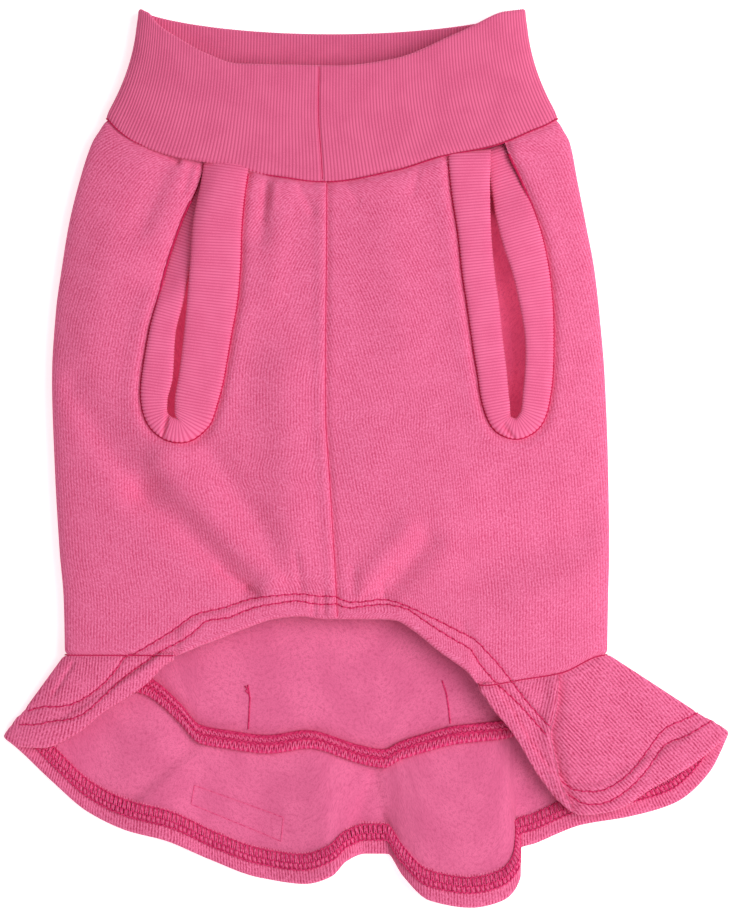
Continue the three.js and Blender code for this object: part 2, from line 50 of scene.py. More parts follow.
# Sizes of the dress laid flat, which its solids share
CHEST_WIDTH = 200
SHOULDER_Y = 112
SIDE_LENGTH = 193
NECK_SEAM_WIDTH = 161
NECK_MOUTH_WIDTH = 137.5
NECK_BAND_HEIGHT = 39.5
SKIRT_LENGTH = 50
NECK_DROP = 23
BACK_NECK_DROP = 10
MOUTH_DROP = 21
BACK_MOUTH_DROP = 8.5
BELLY_RISE = 14
BACK_DROP = 34
CROWN_HEIGHT = 13
SIDE_HEIGHT = 5.7
RUFFLE_HEIGHT = 11
NECK_MOUTH_HEIGHT = 12
CLOTH = 1.7
NECK_BAND_THICKNESS = 2.6
LEG_BAND_THICKNESS = 3.6
HEM_THICKNESS = 3
HEM_DEPTH = 10
HEM_STEP = 4
LEG_DEPTH = 112
LEG_BAND_WIDTH = 18
LEG_BAND_LIFT = 0.3
BAND_CLEARANCE = 0.5
LEG_BAND_OVERRUN = 12
ALLOWANCE_WIDTH = 6.5
ALLOWANCE_THICKNESS = 1.6
SIDE_ROLL = 0.35
BACK_NECK_CURVE = 1.6
BACK_MOUTH_CURVE = 1.4
BAND_SQUARENESS = 0.6
HALF_CHEST = CHEST_WIDTH / 2
WAIST_Y = SHOULDER_Y - SIDE_LENGTH

# Sizes of the looks alone: the thinnest cloth under a dent, how far sewn cloths overlap
# where one is sunk and where both are level, the degrees over which the arch's hem sets
# in, and the least height over the floor
THINNEST = 0.3
SEWN_OVERLAP = 0.35
LEVEL_OVERLAP = 1.1
ARCH_TURN = 2.4
FLOOR_GAP = 0.05

# Pitches of the knit and of the sewing, and what shapes the threads
WALE = 1.1
NECK_RIB = 1.14
LEG_RIB = 1.05
STITCH = 2.7
HEM_LINES = (5.75, 10.25)
LOOP_PITCH = 1.7
THREAD_RADIUS = 0.25
SEAM_RADIUS = 0.26
# Thread round the leg bands, thickened to paint the shade of their ditches as well
BAND_SEAM_AND_SHADE_RADIUS = 0.48
STITCH_SWAY = 0.13
STITCH_ARCH = 0.34
STITCH_SUNK = 0.24
LOOPER_LINES = (5.25, 7.55, 10.35)
LOOPER_TURNS = (92, 268)
SEWING_STEPS = 1200
STROKE_STEPS = 5
STROKE_MARGIN = 1

# Ribs of the bands, and the leg bands' ends: how far they are tucked under the neck
# band, over what length they swell, and how deep and how long they dip
NECK_RIB_HEIGHT = 0.075
LEG_RIB_HEIGHT = 0.1
BAND_TUCK = 3
BAND_SWELL = 1.5
BAND_DIP = 1.4
BAND_DIP_LENGTH = 4
BAND_CREASE = 1.5

# Relief across lines of the sewing and folds, as bumps that have a height, a place and a
# spread each. A hollow's height is negative.
ROLLED_SIDE = [(0.45, -2, 2), (-0.7, 0, 0.4)]
COVERED_SIDE = [(-0.75, 0, 1.5)]
BAND_DITCH = [(-1.3, 0, 1.3), (0.25, 4, 2.5)]
NECK_DITCH = [(-0.8, 0, 1.2)]
BELOW_NECK = [(0.25, 4.5, 2.5)]
CREASE_ON_TOP = [(1.1, -1.2, 2.6)]
CREASE_BENEATH = [(-1.3, 0, 3), (-0.7, 0, 0.7)]
BAND_FRONT_SEAM = [(-0.55, 0, 0.5)]
BAND_SEWN_EDGE = [(-0.4, 0, 1.5)]
NEEDLE_DENT = 0.6
BACK_NEEDLE_DENT = 0.4
WAIST_DENT = 0.9


def table(columns, rows):
    """Rows of numbers as one array for each named column."""
    return dict(zip(columns.split(), np.array(rows, float).T))


# Half width of the body, as shares of half the chest, against the share of the way
# from the neck seam to the lower edge
FLANKS = table("down left right", [
    (0, 0.805, 0.805), (0.02, 0.825, 0.822), (0.045, 0.855, 0.848), (0.115, 0.9, 0.875),
    (0.2, 0.94, 0.907), (0.28, 0.965, 0.936), (0.36, 0.986, 0.954), (0.485, 1, 0.974),
    (0.65, 0.99, 0.986), (0.81, 0.972, 0.99), (0.895, 0.958, 0.986), (1, 0.954, 0.983),
])

# Height of the front at its middle, as a share of the crown's height
CROWNS = table("down height", [
    (0, 0.85), (0.2, 0.96), (0.5, 1), (0.8, 0.92), (1, 0.81),
])

# Front neck seam, as a share of the neck's drop
NECK_SEAM = table("turn drop", [
    (-90, 0), (-57, 0.42), (-42, 0.6), (-24, 0.75), (-12, 0.93),
    (0, 1), (17.5, 0.83), (30.7, 0.6), (46, 0.45), (67, 0.16),
    (90, 0),
])

# Front edge of the neck's mouth, as a share of the mouth's drop
MOUTH_EDGE = table("turn drop", [
    (-90, 0), (-73, 0.06), (-64, 0.26), (-49, 0.55), (-37, 0.8),
    (-26, 0.96), (-5, 0.98), (6, 0.99), (22, 0.88), (43, 0.44),
    (66, 0.05), (90, 0),
])

# Front lower edge, as a share of the belly's rise above the side waist. The arch lies
# between two turns, and outside them this is the waist seam.
BELLY_EDGE = table("across rise", [
    (-1, 0), (-0.62, 0), (-0.5, 0.27), (-0.435, 0.44), (-0.34, 0.7),
    (-0.223, 0.95), (-0.14, 1), (-0.04, 0.93), (0.15, 0.93), (0.21, 0.9),
    (0.274, 0.66), (0.372, 0.11), (0.47, -0.37), (0.535, -0.76), (0.7, -0.6),
    (0.83, -0.45), (1, 0),
])
ARCH_TURNS = (-37.1, 31.3)

# Back waist seam, as a share of the back's drop below the side waist
BACK_SEAM = table("across drop", [
    (-1, 0), (-0.9, 0.08), (-0.8, 0.15), (-0.69, 0.25), (-0.58, 0.51),
    (-0.5, 0.75), (-0.39, 0.81), (-0.24, 0.86), (-0.1, 0.81), (0.095, 0.96),
    (0.19, 1.01), (0.25, 0.93), (0.35, 0.84), (0.44, 0.77), (0.63, 0.7),
    (0.75, 0.53), (0.87, 0.3), (1, 0),
])

# Skirt hem: across is a share of half the chest, fall a share of the skirt's length
# below the side waist, rise a share of the ruffle's height
SKIRT_HEM = table("turn across fall rise", [
    (31.3, 0.525, 0.2, 0.8), (34.5, 0.572, 0.37, 0.72), (38, 0.65, 0.56, 0.62),
    (43, 0.75, 0.89, 0.55), (48, 0.82, 1.06, 0.5), (53, 0.9, 1.15, 0.59),
    (58, 1.01, 1.12, 0.64), (66, 1.15, 0.96, 0.59), (74, 1.29, 0.8, 0.5),
    (83, 1.375, 0.67, 0.41), (90, 1.428, 0.58, 0.18), (97, 1.37, 0.83, 0.01),
    (106, 1.24, 1.07, 0.03), (116, 1.07, 1.17, 0.13), (126, 0.9, 1.23, 0.09),
    (134, 0.74, 1.36, 0.01), (139, 0.665, 1.42, 0.07), (143, 0.668, 1.62, 0.45),
    (147, 0.625, 1.75, 0.73), (153, 0.5, 1.81, 0.86), (160, 0.35, 1.76, 0.77),
    (165, 0.26, 1.6, 0.41), (169, 0.2, 1.44, 0.04), (174, 0.12, 1.44, 0.01),
    (179, 0.05, 1.49, 0.36), (184, 0, 1.59, 0.59), (190, -0.1, 1.65, 0.41),
    (198, -0.26, 1.61, 0.14), (208, -0.44, 1.48, 0.14), (216, -0.6, 1.34, 0.32),
    (226, -0.74, 1.27, 0.18), (238, -0.88, 1.14, 0), (250, -1.01, 0.92, 0),
    (262, -1.125, 0.7, 0.02), (270, -1.177, 0.61, 0.18), (278, -1.13, 0.66, 0.32),
    (288, -1.04, 0.67, 0.41), (298, -0.92, 0.57, 0.45), (308, -0.828, 0.42, 0.5),
    (317, -0.68, 0.22, 0.55), (320.5, -0.625, 0.09, 0.55), (322.9, -0.576, 0.01, 0.56),
])
ALLOWANCE_TURNS = (102, 258)

# Leg bands: across is a share of half the chest, down a share of the leg's depth below
# the shoulder, width a share of the leg band's width, and sink 1 where an arm lies
# beneath the other
LEFT_BAND = table("across down width sink", [
    (-0.41, 0.125, 0.5, 1), (-0.44, 0.219, 0.5, 1), (-0.5, 0.341, 0.5, 1),
    (-0.55, 0.476, 0.51, 0.8), (-0.58, 0.59, 0.51, 0.3), (-0.605, 0.679, 0.52, 0),
    (-0.625, 0.827, 0.61, 0), (-0.636, 0.902, 0.53, 0), (-0.623, 0.964, 0.45, 0),
    (-0.58, 0.996, 0.46, 0), (-0.53, 0.996, 0.53, 0), (-0.5, 0.957, 0.76, 0),
    (-0.484, 0.893, 0.86, 0), (-0.468, 0.827, 0.89, 0), (-0.444, 0.679, 0.94, 0),
    (-0.43, 0.59, 0.99, 0), (-0.419, 0.476, 1, 0), (-0.411, 0.341, 0.97, 0),
    (-0.391, 0.219, 0.9, 0), (-0.375, 0.125, 0.91, 0),
])
RIGHT_BAND = table("across down width sink", [
    (0.494, 0.119, 0.85, 0), (0.498, 0.223, 0.77, 0), (0.513, 0.375, 0.655, 0),
    (0.525, 0.489, 0.64, 0), (0.543, 0.602, 0.63, 0), (0.559, 0.717, 0.605, 0),
    (0.574, 0.811, 0.58, 0), (0.589, 0.911, 0.54, 0), (0.612, 0.977, 0.42, 0),
    (0.665, 0.995, 0.41, 0), (0.713, 0.962, 0.49, 0), (0.736, 0.868, 0.56, 0),
    (0.744, 0.723, 0.565, 0), (0.73, 0.581, 0.67, 0), (0.708, 0.473, 0.745, 0),
    (0.684, 0.395, 0.8, 0), (0.657, 0.31, 0.77, 0.2), (0.625, 0.208, 0.63, 0.8),
    (0.595, 0.125, 0.5, 1),
])

# Folds of the front, from one place to another. A hollow's height is negative. The
# spreads are those to the left and to the right of the way the fold runs.
FRONT_FOLDS = table("x y to_x to_y height left right", [
    (-93, 14, -68, -23, -2.3, 8, 6), (-68, -23, -31, -56, -2.8, 7, 5.5),
    (-60, -12, -24, -54, 2.3, 8, 5.5), (-47, -3, -14, -54, -1.6, 6, 5.5),
    (-16, 20, -14, -50, 2, 11, 9), (15, -13, 40, -23, 2.2, 17, 17),
    (34, -40, 19, -58, -2.2, 5, 5), (27, -36, 13, -54, 1.4, 5, 5),
    (53, -48, 89, -37, -1.8, 11, 11), (70, -62, 95, -52, 1, 9, 9),
    (-58, 97, -68, 73, -1.4, 4, 7), (-47, 97, -62, 54, -2, 5, 6),
    (-24, 86, -25, 70, -1.3, 3, 5), (-17, 86, -22, 50, 0.9, 5, 7),
    (20, 84, 26, 30, 0.9, 9, 9), (-80, 66, -90, 12, 1, 9, 9),
])

# Small creases of the front's cloth, which don't move the rest of it. A crest is positive.
CREASES = table("x y to_x to_y height spread", [
    (-6.5, -60.5, -6.5, -67, -0.7, 0.9), (-2.9, -58.5, -2.9, -65.2, -0.6, 0.9),
    (22.5, -49.5, 12, -60, -0.6, 1.2), (18.4, -54.4, 18.7, -60, -0.6, 0.8),
    (7.9, -50, 7.9, -58, -0.5, 1.8), (-40, -50, -30.6, -56.5, -0.7, 1.6),
    (-30.6, -56.5, -27, -58.5, -0.7, 1.2), (-40, -30, -16, -53, -0.45, 1.8),
    (-13, -44, -11, -57, -0.5, 1.4), (-57, 99.5, -55.6, 96.5, -1.6, 1.1),
    (-50.5, 96, -53, 86, -0.6, 1.5), (-23.5, 88, -24.7, 76, -0.7, 1.4),
    (-20, 88, -20.6, 80, 0.5, 1.3), (-11.5, 87, -7, 78, -0.6, 1.5),
    (5, 89, 9, 82, -0.4, 1.6), (31, 93, 29, 85, -0.4, 1.5),
    (47, -70, 52, -80, -0.4, 1.6), (-93, -84, -100, -95, -0.5, 0.9),
])

# Folds inside the back of the skirt, in the same form as the front's folds.
INNER_FOLDS = table("x y to_x to_y height left right", [
    (-46, -111, -73, -135, -0.8, 1, 7), (15.5, -121, 5, -150, -0.8, 5, 1),
    (15.5, -121, 19, -140, -0.6, 1, 5), (19, -140, 25.6, -155, -0.6, 1, 5),
])

# Where the right front of the skirt folds over itself. The part to the left lies on top.
SKIRT_CREASE = table("x y", [
    (81.2, -86), (81.2, -93.2), (80.6, -99.7), (79.2, -105.1), (78.5, -109.3),
    (79.7, -115.2), (81.2, -122.8), (82.1, -126.4), (83.9, -130.3), (87, -137),
])

# Where the bottom of each leg band folds in on itself
BAND_CREASES = table("x y to_x to_y", [
    (-58.7, 5.5, -60.8, -3), (61.4, 1.6, 65, -3),
])

# Where the centre front seam lies, against the height of the dress
SEAM_LINE = table("y x", [
    (-70, 2), (-60, 1.6), (-20, -0.7), (10, -2.4), (90, -1.9),
])
NECK_SEAM_LINE = table("y x", [
    (88, -3.4), (115, -4.8), (132, -4.6),
])

# Darts in the back, seen from inside
LEFT_DART = [(-30.4, -92), (-29.7, -97), (-30, -103), (-30.3, -108)]
RIGHT_DART = [(39.7, -90.4), (41.2, -95), (42, -100), (42.6, -106)]

# The two lines of the front's hem, from the skirt's left tip to its fold and on to its right tip
STITCHES_NEAR_EDGE = table("x y", [
    (-112.7, -106), (-106.3, -106), (-100.9, -104.9), (-93.9, -103.9), (-88.9, -101.6),
    (-82.3, -95.9), (-74.1, -88.4), (-67.9, -83.9), (-60.4, -78.9), (-53.6, -75.4),
    (-49.1, -72.1), (-45, -68.6), (-40.4, -67.8), (-36.3, -67.1), (-32.1, -65.3),
    (-25.6, -63.2), (-18.5, -62), (-12.3, -61.3), (-7.4, -62.2), (-2, -62.6),
    (1.4, -62.4), (5.6, -63.8), (13, -63), (20.5, -62.8), (27.1, -64.4),
    (32.9, -68.2), (39.1, -72.3), (44.5, -75.6), (49.4, -78.5), (52.7, -83.4),
    (56.4, -88), (59.8, -91.6), (66.8, -98.1), (72.1, -104), (76.8, -109.3),
])
STITCHES_FAR = table("x y", [
    (-109.8, -101.2), (-103.8, -99.6), (-98.9, -99.6), (-93.9, -98.7), (-88.9, -96.3),
    (-82.3, -91.3), (-78.2, -86.8), (-74.1, -81.4), (-71.6, -80.6), (-62.9, -75.6),
    (-57, -71.9), (-49.1, -66.3), (-43.7, -64.9), (-38.8, -63.8), (-29.7, -60.9),
    (-23.1, -59.7), (-16.5, -59.1), (-10.3, -58.9), (-4.1, -59.7), (0.6, -59.7),
    (5.6, -61.6), (11.4, -61.6), (17.2, -60.9), (23.8, -62), (34.9, -66.9),
    (45.3, -72.1), (51.5, -75.4), (55.6, -79.7), (58.6, -82.8), (65.1, -91),
    (70.9, -98.6), (78, -106.3),
])
RIGHT_STITCHES_NEAR_EDGE = table("x y", [
    (85, -131), (89.7, -133.9), (94.4, -134.5), (99.7, -133.3), (106.2, -129.2),
    (112.1, -123.4), (115.6, -118.7), (120.2, -113), (126.7, -110.4), (136.7, -104.8),
])
RIGHT_STITCHES_FAR = table("x y", [
    (82.7, -126.3), (86.2, -129), (91.4, -129.8), (96.8, -129.5), (103.2, -126.3),
    (109.1, -121), (114.4, -113.9), (119.7, -107.5), (126.7, -104.3), (132, -101.9),
])


def lerp(low, high, share):
    return low + (high - low) * share


def smoothstep(value, low, high):
    share = np.clip((value - low) / (high - low), 0, 1)
    return share * share * (3 - 2 * share)


def bell(away, spread):
    return np.exp(-((away / spread) ** 2))


def profile(away, bumps):
    """Relief at a distance from a line, of bumps that have a height, a place and a spread."""
    return sum(height * bell(away - place, spread) for height, place, spread in bumps)


def column(rows, at, key):
    """Reads one column of a table between its rows, without overshoot and level at its ends."""
    places, values = rows[at], rows[key]
    steps = np.diff(places)
    rates = np.diff(values) / steps
    before, after = np.append(0, rates), np.append(rates, 0)
    same = before * after > 0
    slopes = np.where(same, 2 * before * after / np.where(same, before + after, 1), 0)

    def read(value):
        x = np.clip(value, places[0], places[-1])
        i = np.clip(np.searchsorted(places, x, side="right") - 1, 0, len(steps) - 1)
        t = (x - places[i]) / steps[i]
        eased = t * t * (3 - 2 * t) * (values[i + 1] - values[i])
        turned = t * (1 - t) * ((1 - t) * slopes[i] - t * slopes[i + 1]) * steps[i]
        return values[i] + eased + turned

    return read


flank_left, flank_right = (column(FLANKS, "down", key) for key in ("left", "right"))
crown = column(CROWNS, "down", "height")
seam_drop = column(NECK_SEAM, "turn", "drop")
mouth_drop = column(MOUTH_EDGE, "turn", "drop")
edge_rise = column(BELLY_EDGE, "across", "rise")
seat_drop = column(BACK_SEAM, "across", "drop")
hem_across, hem_fall, hem_rise = (
    column(SKIRT_HEM, "turn", key) for key in ("across", "fall", "rise")
)
seam_x = column(SEAM_LINE, "y", "x")
neck_seam_x = column(NECK_SEAM_LINE, "y", "x")


def turn_of(theta):
    return np.mod(np.degrees(theta) + 180, 360) - 180


def places(x, y, z):
    return np.stack(np.broadcast_arrays(x, y, z), axis=-1).astype(float)


def unit(vectors):
    return vectors / np.maximum(np.linalg.norm(vectors, axis=-1, keepdims=True), 1e-9)


def xy(rows):
    return np.stack([rows["x"], rows["y"]], axis=1)


def run_along(line):
    """How far along a line of points each of them lies."""
    return np.append(0, np.cumsum(np.linalg.norm(np.diff(line, axis=0), axis=1)))


def resampled(at, run, values):
    return np.stack([np.interp(at, run, column) for column in values.T], axis=1)


def rightward(line):
    """Units to the right of the way that a flat line runs."""
    heading = unit(np.gradient(line, axis=0))
    return np.stack([heading[:, 1], -heading[:, 0]], axis=1)


def above_floor(points):
    points[..., 2] = np.maximum(points[..., 2], FLOOR_GAP)
    return points


def wall_height(theta, top, thickness):
    facing, across = np.cos(theta), np.sin(theta)
    front = SIDE_HEIGHT + (top - SIDE_HEIGHT) * facing * np.hypot(1, across)
    roll = 1 - np.clip(-facing / SIDE_ROLL, 0, 1)
    back = lerp(SIDE_HEIGHT, thickness / 2, np.sqrt(1 - roll * roll))
    return np.where(facing > 0, front, back)


def neck_seam_y(theta):
    facing = np.cos(theta)
    back = SHOULDER_Y - BACK_NECK_DROP * np.maximum(-facing, 0) ** BACK_NECK_CURVE
    return np.where(facing > 0, SHOULDER_Y - NECK_DROP * seam_drop(turn_of(theta)), back)


def mouth_y(theta):
    facing = np.cos(theta)
    tips = SHOULDER_Y + NECK_BAND_HEIGHT
    back = tips - BACK_MOUTH_DROP * np.maximum(-facing, 0) ** BACK_MOUTH_CURVE
    return np.where(facing > 0, tips - MOUTH_DROP * mouth_drop(turn_of(theta)), back)


def lower_edge_y(theta):
    across = np.sin(theta)
    front = WAIST_Y + BELLY_RISE * edge_rise(across)
    return np.where(np.cos(theta) > 0, front, WAIST_Y - BACK_DROP * seat_drop(across))


def body_half_width(across, down):
    return HALF_CHEST * np.where(across < 0, flank_left(down), flank_right(down))


def fold_lift(x, y, folds):
    """How far some folds lift or sink the cloth at a place."""
    lift = np.zeros(np.broadcast(x, y).shape)
    for x0, y0, x1, y1, height, left, right in zip(*folds.values()):
        run = np.hypot(x1 - x0, y1 - y0)
        ahead_x, ahead_y = (x1 - x0) / run, (y1 - y0) / run
        along = np.clip((x - x0) * ahead_x + (y - y0) * ahead_y, 0, run)
        off_x, off_y = x - x0 - along * ahead_x, y - y0 - along * ahead_y
        away = np.maximum(np.hypot(off_x, off_y), 1e-6)
        side = (ahead_x * off_y - ahead_y * off_x) / away
        lift += height * bell(away, lerp(right, left, 0.5 + 0.5 * side))
    return lift


def body_middle(theta, down):
    """The middle of the body's wall. The seam's own line bends the front's columns."""
    facing, across = np.cos(theta), np.sin(theta)
    y = lerp(neck_seam_y(theta), lower_edge_y(theta), down)
    x = across * body_half_width(across, down) + seam_x(y) * np.maximum(facing, 0) ** 2
    z = wall_height(theta, CROWN_HEIGHT * crown(down), CLOTH)
    return places(x, y, z + smoothstep(facing, 0.05, 0.5) * fold_lift(x, y, FRONT_FOLDS))


def neck_middle(theta, up):
    facing = np.cos(theta)
    opened = 1 - (1 - up) ** 2
    y = lerp(neck_seam_y(theta), mouth_y(theta), up)
    x = np.sin(theta) * lerp(NECK_SEAM_WIDTH, NECK_MOUTH_WIDTH, opened) / 2
    x = x + neck_seam_x(y) * np.maximum(facing, 0) ** 2
    top = lerp(CROWN_HEIGHT * crown(0), NECK_MOUTH_HEIGHT, up)
    return places(x, y, wall_height(theta, top, NECK_BAND_THICKNESS))


def hem_point(theta):
    turn = np.mod(np.degrees(theta), 360)
    across, fall, rise = hem_across(turn), hem_fall(turn), hem_rise(turn)
    return places(HALF_CHEST * across, WAIST_Y - SKIRT_LENGTH * fall, RUFFLE_HEIGHT * rise)


def waist_point(theta):
    return body_middle(theta, np.ones_like(theta)) - np.array([0, 0, CLOTH / 2])


def skirt_fall(theta):
    return np.linalg.norm(waist_point(theta) - hem_point(theta), axis=-1)


def hemmed(reach, share):
    turned = smoothstep(-reach, -HEM_DEPTH - HEM_STEP / 2, HEM_STEP / 2 - HEM_DEPTH)
    return lerp(CLOTH, HEM_THICKNESS, turned * share)


def arch_share(theta):
    """1 along the arch, whose hem is turned, and 0 along the waist seam."""
    turn = turn_of(theta)
    left = smoothstep(turn, ARCH_TURNS[0], ARCH_TURNS[0] + ARCH_TURN)
    return left * smoothstep(-turn, -ARCH_TURNS[1], ARCH_TURN - ARCH_TURNS[1])


def body_length(theta):
    return neck_seam_y(theta) - lower_edge_y(theta)


def body_thickness(theta, down):
    return hemmed((1 - down) * body_length(theta), arch_share(theta))


def skirt_thickness(theta, down):
    return hemmed((1 - down) * skirt_fall(theta), 1)


def skirt_middle(theta, down):
    point = lerp(waist_point(theta), hem_point(theta), down[..., None])
    point[..., 2] += skirt_thickness(theta, down) / 2
    return point


def neck_thickness(theta, up):
    return NECK_BAND_THICKNESS * (1 - 0.3 * smoothstep(up, 0.8, 1)) + 0 * theta


def directions(surface, theta, share, inward):
    """Units out of a surface and along its share. The turn runs clockwise from the neck."""
    step = 0.004
    low, high = np.maximum(share - step, 0), np.minimum(share + step, 1)
    around = surface(theta + step, share) - surface(theta - step, share)
    along = surface(theta, high) - surface(theta, low)
    out = unit(np.cross(along, around))
    return (-out if inward else out), unit(along)


RIM_STEPS = 6


def wall_loop(outside, inside):
    """The shares and angles of a wall's section: along its outside, round its far edge,
    back along its inside and round its near edge to where it starts."""
    rim = np.pi * np.arange(1, RIM_STEPS) / RIM_STEPS
    shares = [outside, np.full(len(rim), outside[-1]), inside[::-1]]
    shares += [np.full(len(rim), outside[0]), outside[:1]]
    angles = [0 * outside, rim, 0 * inside + np.pi, rim + np.pi, np.array([2 * np.pi])]
    return np.concatenate(shares), np.concatenate(angles)


def wall_points(surface, thickness, relief, turns, outside, inside, insets, flipped=False, ends=1):
    """Points of a closed wall, columns by rows, with its relief. Its edges lie inside the
    surface's by the insets, so that its round rims end where the surface does."""
    shares, angles = wall_loop(outside, inside)
    theta, share = np.meshgrid(turns, shares, indexing="ij")
    share = lerp(insets[0][:, None], 1 - insets[1][:, None], share)
    angle = np.broadcast_to(angles, theta.shape)
    middle = surface(theta, share)
    out, along = directions(surface, theta, share, flipped)
    half = thickness(theta, share) / 2 * np.reshape(ends, (-1, 1))
    reach = (half + relief(theta, share, np.cos(angle))) * np.cos(angle)
    points = middle + out * reach[..., None] + along * (half * np.sin(angle))[..., None]
    return above_floor(points), np.cos(angle)


def cloth_lengths(points, start):
    """Millimetres round and down the cloth at each point, the first from one column."""
    across = np.linalg.norm(np.diff(points, axis=0), axis=-1)
    around = np.concatenate([np.zeros((1, points.shape[1])), np.cumsum(across, axis=0)])
    down = np.linalg.norm(np.diff(points, axis=1), axis=-1)
    along = np.concatenate([np.zeros((points.shape[0], 1)), np.cumsum(down, axis=1)], axis=1)
    return around - around[start], along


def mesh_of(shape, name):
    mesh = bpy.data.meshes.new(name)
    shape.to_mesh(mesh)
    shape.free()
    return mesh


def grid_mesh(name, points, u, v, second=False):
    """A grid whose vertices are moved to the points, with cloth millimetres as its UV map.
    Where it meets itself it is merged. Faces that second marks take the second material."""
    columns, rows = points.shape[:2]
    shape = bmesh.new()
    chart = shape.loops.layers.uv.new("cloth_mm")
    bmesh.ops.create_grid(shape, x_segments=columns - 1, y_segments=rows - 1, size=1)
    shape.verts.ensure_lookup_table()
    shape.verts.index_update()
    flat = (points.transpose(1, 0, 2).reshape(-1, 3) * MM).tolist()
    for vert, place in zip(shape.verts, flat):
        vert.co = place
    second = np.broadcast_to(second, u.shape)
    chart_u, chart_v, marks = (values.T.ravel().tolist() for values in (u, v, second))
    for face in shape.faces:
        face.smooth = True
        corners = [loop.vert.index for loop in face.loops]
        for loop, index in zip(face.loops, corners):
            loop[chart].uv = (chart_u[index], chart_v[index])
        face.material_index = int(sum(marks[index] for index in corners) > 2)
    bmesh.ops.remove_doubles(shape, verts=shape.verts, dist=0.002 * MM)
    bmesh.ops.recalc_face_normals(shape, faces=shape.faces)
    return mesh_of(shape, name)


def add_object(name, data):
    thing = bpy.data.objects.new(name, data)
    bpy.context.scene.collection.objects.link(thing)
    return thing


def shaped_mesh(thing):
    """The mesh that a curve or a modifier makes of an object."""
    ready = thing.evaluated_get(bpy.context.evaluated_depsgraph_get())
    return bpy.data.meshes.new_from_object(ready)


def place_object(name, mesh, materials):
    thing = add_object(name, mesh)
    for finish in materials:
        mesh.materials.append(finish)
    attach(thing, "root")
    return thing


def spaced(length, coarse, fine, reach):
    """Shares of a length, coarse and then fine within a reach of its far end."""
    near = np.arange(0, length - reach, coarse)
    far = np.linspace(length - reach, length, int(reach / fine) + 1)
    return np.concatenate([near, far]) / length


# Materials

def linear(red, green, blue):
    """A colour given in screen numbers, 0 to 255, as the light that a surface keeps."""
    keep = []
    for value in (red, green, blue):
        share = value / 255
        keep.append(share / 12.92 if share <= 0.04045 else ((share + 0.055) / 1.055) ** 2.4)
    return (*keep, 1)


SOFT_SURFACE = {
    "Specular IOR Level": 0.2, "Sheen Roughness": 0.5, "Sheen Tint": linear(255, 190, 210)
}


class Finish:
    """A material's node tree, with short calls that add its nodes. Sizes are millimetres."""

    def __init__(self, name, roughness, sheen):
        self.material = bpy.data.materials.new(name)
        self.material.use_nodes = True
        self.tree = self.material.node_tree
        self.shader = self.tree.nodes["Principled BSDF"]
        settings = {"Roughness": roughness, "Sheen Weight": sheen, **SOFT_SURFACE}
        for key, value in settings.items():
            self.shader.inputs[key].default_value = value

    def node(self, kind, inputs, **settings):
        made = self.tree.nodes.new(kind)
        for key, value in settings.items():
            setattr(made, key, value)
        for key, value in inputs.items():
            if isinstance(value, bpy.types.NodeSocket):
                self.tree.links.new(value, made.inputs[key])
            else:
                made.inputs[key].default_value = value
        return made

    def worked(self, operation, *values):
        inputs = dict(enumerate(values))
        return self.node("ShaderNodeMath", inputs, operation=operation).outputs[0]

    def scaled(self, value, factor, added=None):
        """A value times a factor, and plus another value where one is given."""
        if added is None:
            return self.worked("MULTIPLY", value, factor)
        return self.worked("MULTIPLY_ADD", value, factor, added)

    def wave(self, along, pitch):
        return self.worked("SINE", self.scaled(along, 2 * math.pi / pitch))

    def chart(self):
        uv = self.node("ShaderNodeUVMap", {}, uv_map="cloth_mm").outputs[0]
        split = self.node("ShaderNodeSeparateXYZ", {0: uv})
        return split.outputs[0], split.outputs[1]

    def place(self, u, v):
        return self.node("ShaderNodeCombineXYZ", {0: u, 1: v}).outputs[0]

    def noise(self, where, size, detail=2.0):
        inputs = {"Vector": where, "Scale": 1 / size, "Detail": detail}
        return self.node("ShaderNodeTexNoise", inputs).outputs[0]

    def spread(self, value, low, high):
        inputs = {0: value, 1: low, 2: high}
        return self.node("ShaderNodeMapRange", inputs, interpolation_type="SMOOTHSTEP").outputs[0]

    def mix(self, share, *colours):
        """A mix of two colours, each from a node or in screen numbers."""
        first, second = (linear(*c) if isinstance(c, tuple) else c for c in colours)
        inputs = {0: share, 6: first, 7: second}
        return self.node("ShaderNodeMix", inputs, data_type="RGBA").outputs[2]

    def finish(self, colour, height, depth):
        bump = self.node("ShaderNodeBump", {"Height": height, "Distance": depth * MM})
        self.tree.links.new(bump.outputs[0], self.shader.inputs["Normal"])
        self.tree.links.new(colour, self.shader.inputs["Base Color"])
        return self.material


def jersey(name, dark, plain, light, clearness):
    """Knit whose columns show here and there in relief and painted valley shade, with fine grain.
    """
    finish = Finish(name, 0.95, 0.25)
    u, v = finish.chart()
    where = finish.place(u, v)
    drift = finish.scaled(finish.noise(where, 16), 0.9, u)
    drift = finish.scaled(finish.noise(where, 2.2, 1.0), 0.5, drift)
    valley = finish.scaled(finish.wave(drift, WALE), 0.5, 0.5)
    loops = finish.noise(finish.place(u, finish.scaled(v, 0.7)), 0.75, 1.0)
    patches = finish.spread(finish.noise(where, 8, 3.0), 0.3, 0.7)
    clear = finish.scaled(finish.spread(loops, 0.25, 0.75), 0.6)
    clear = finish.scaled(patches, 0.25, clear)
    valley_relief_and_shade = finish.scaled(valley, finish.scaled(clear, clearness, 0.1))
    grain = finish.spread(finish.noise(where, 0.62, 2.0), 0.3, 0.7)
    colour = finish.mix(grain, plain, light)
    # The dark colour is painted shade in the valleys between the knit's columns
    colour = finish.mix(valley_relief_and_shade, colour, dark)
    relief = finish.scaled(grain, 0.5, finish.worked("SUBTRACT", 1.0, valley_relief_and_shade))
    return finish.finish(colour, relief, 0.07)


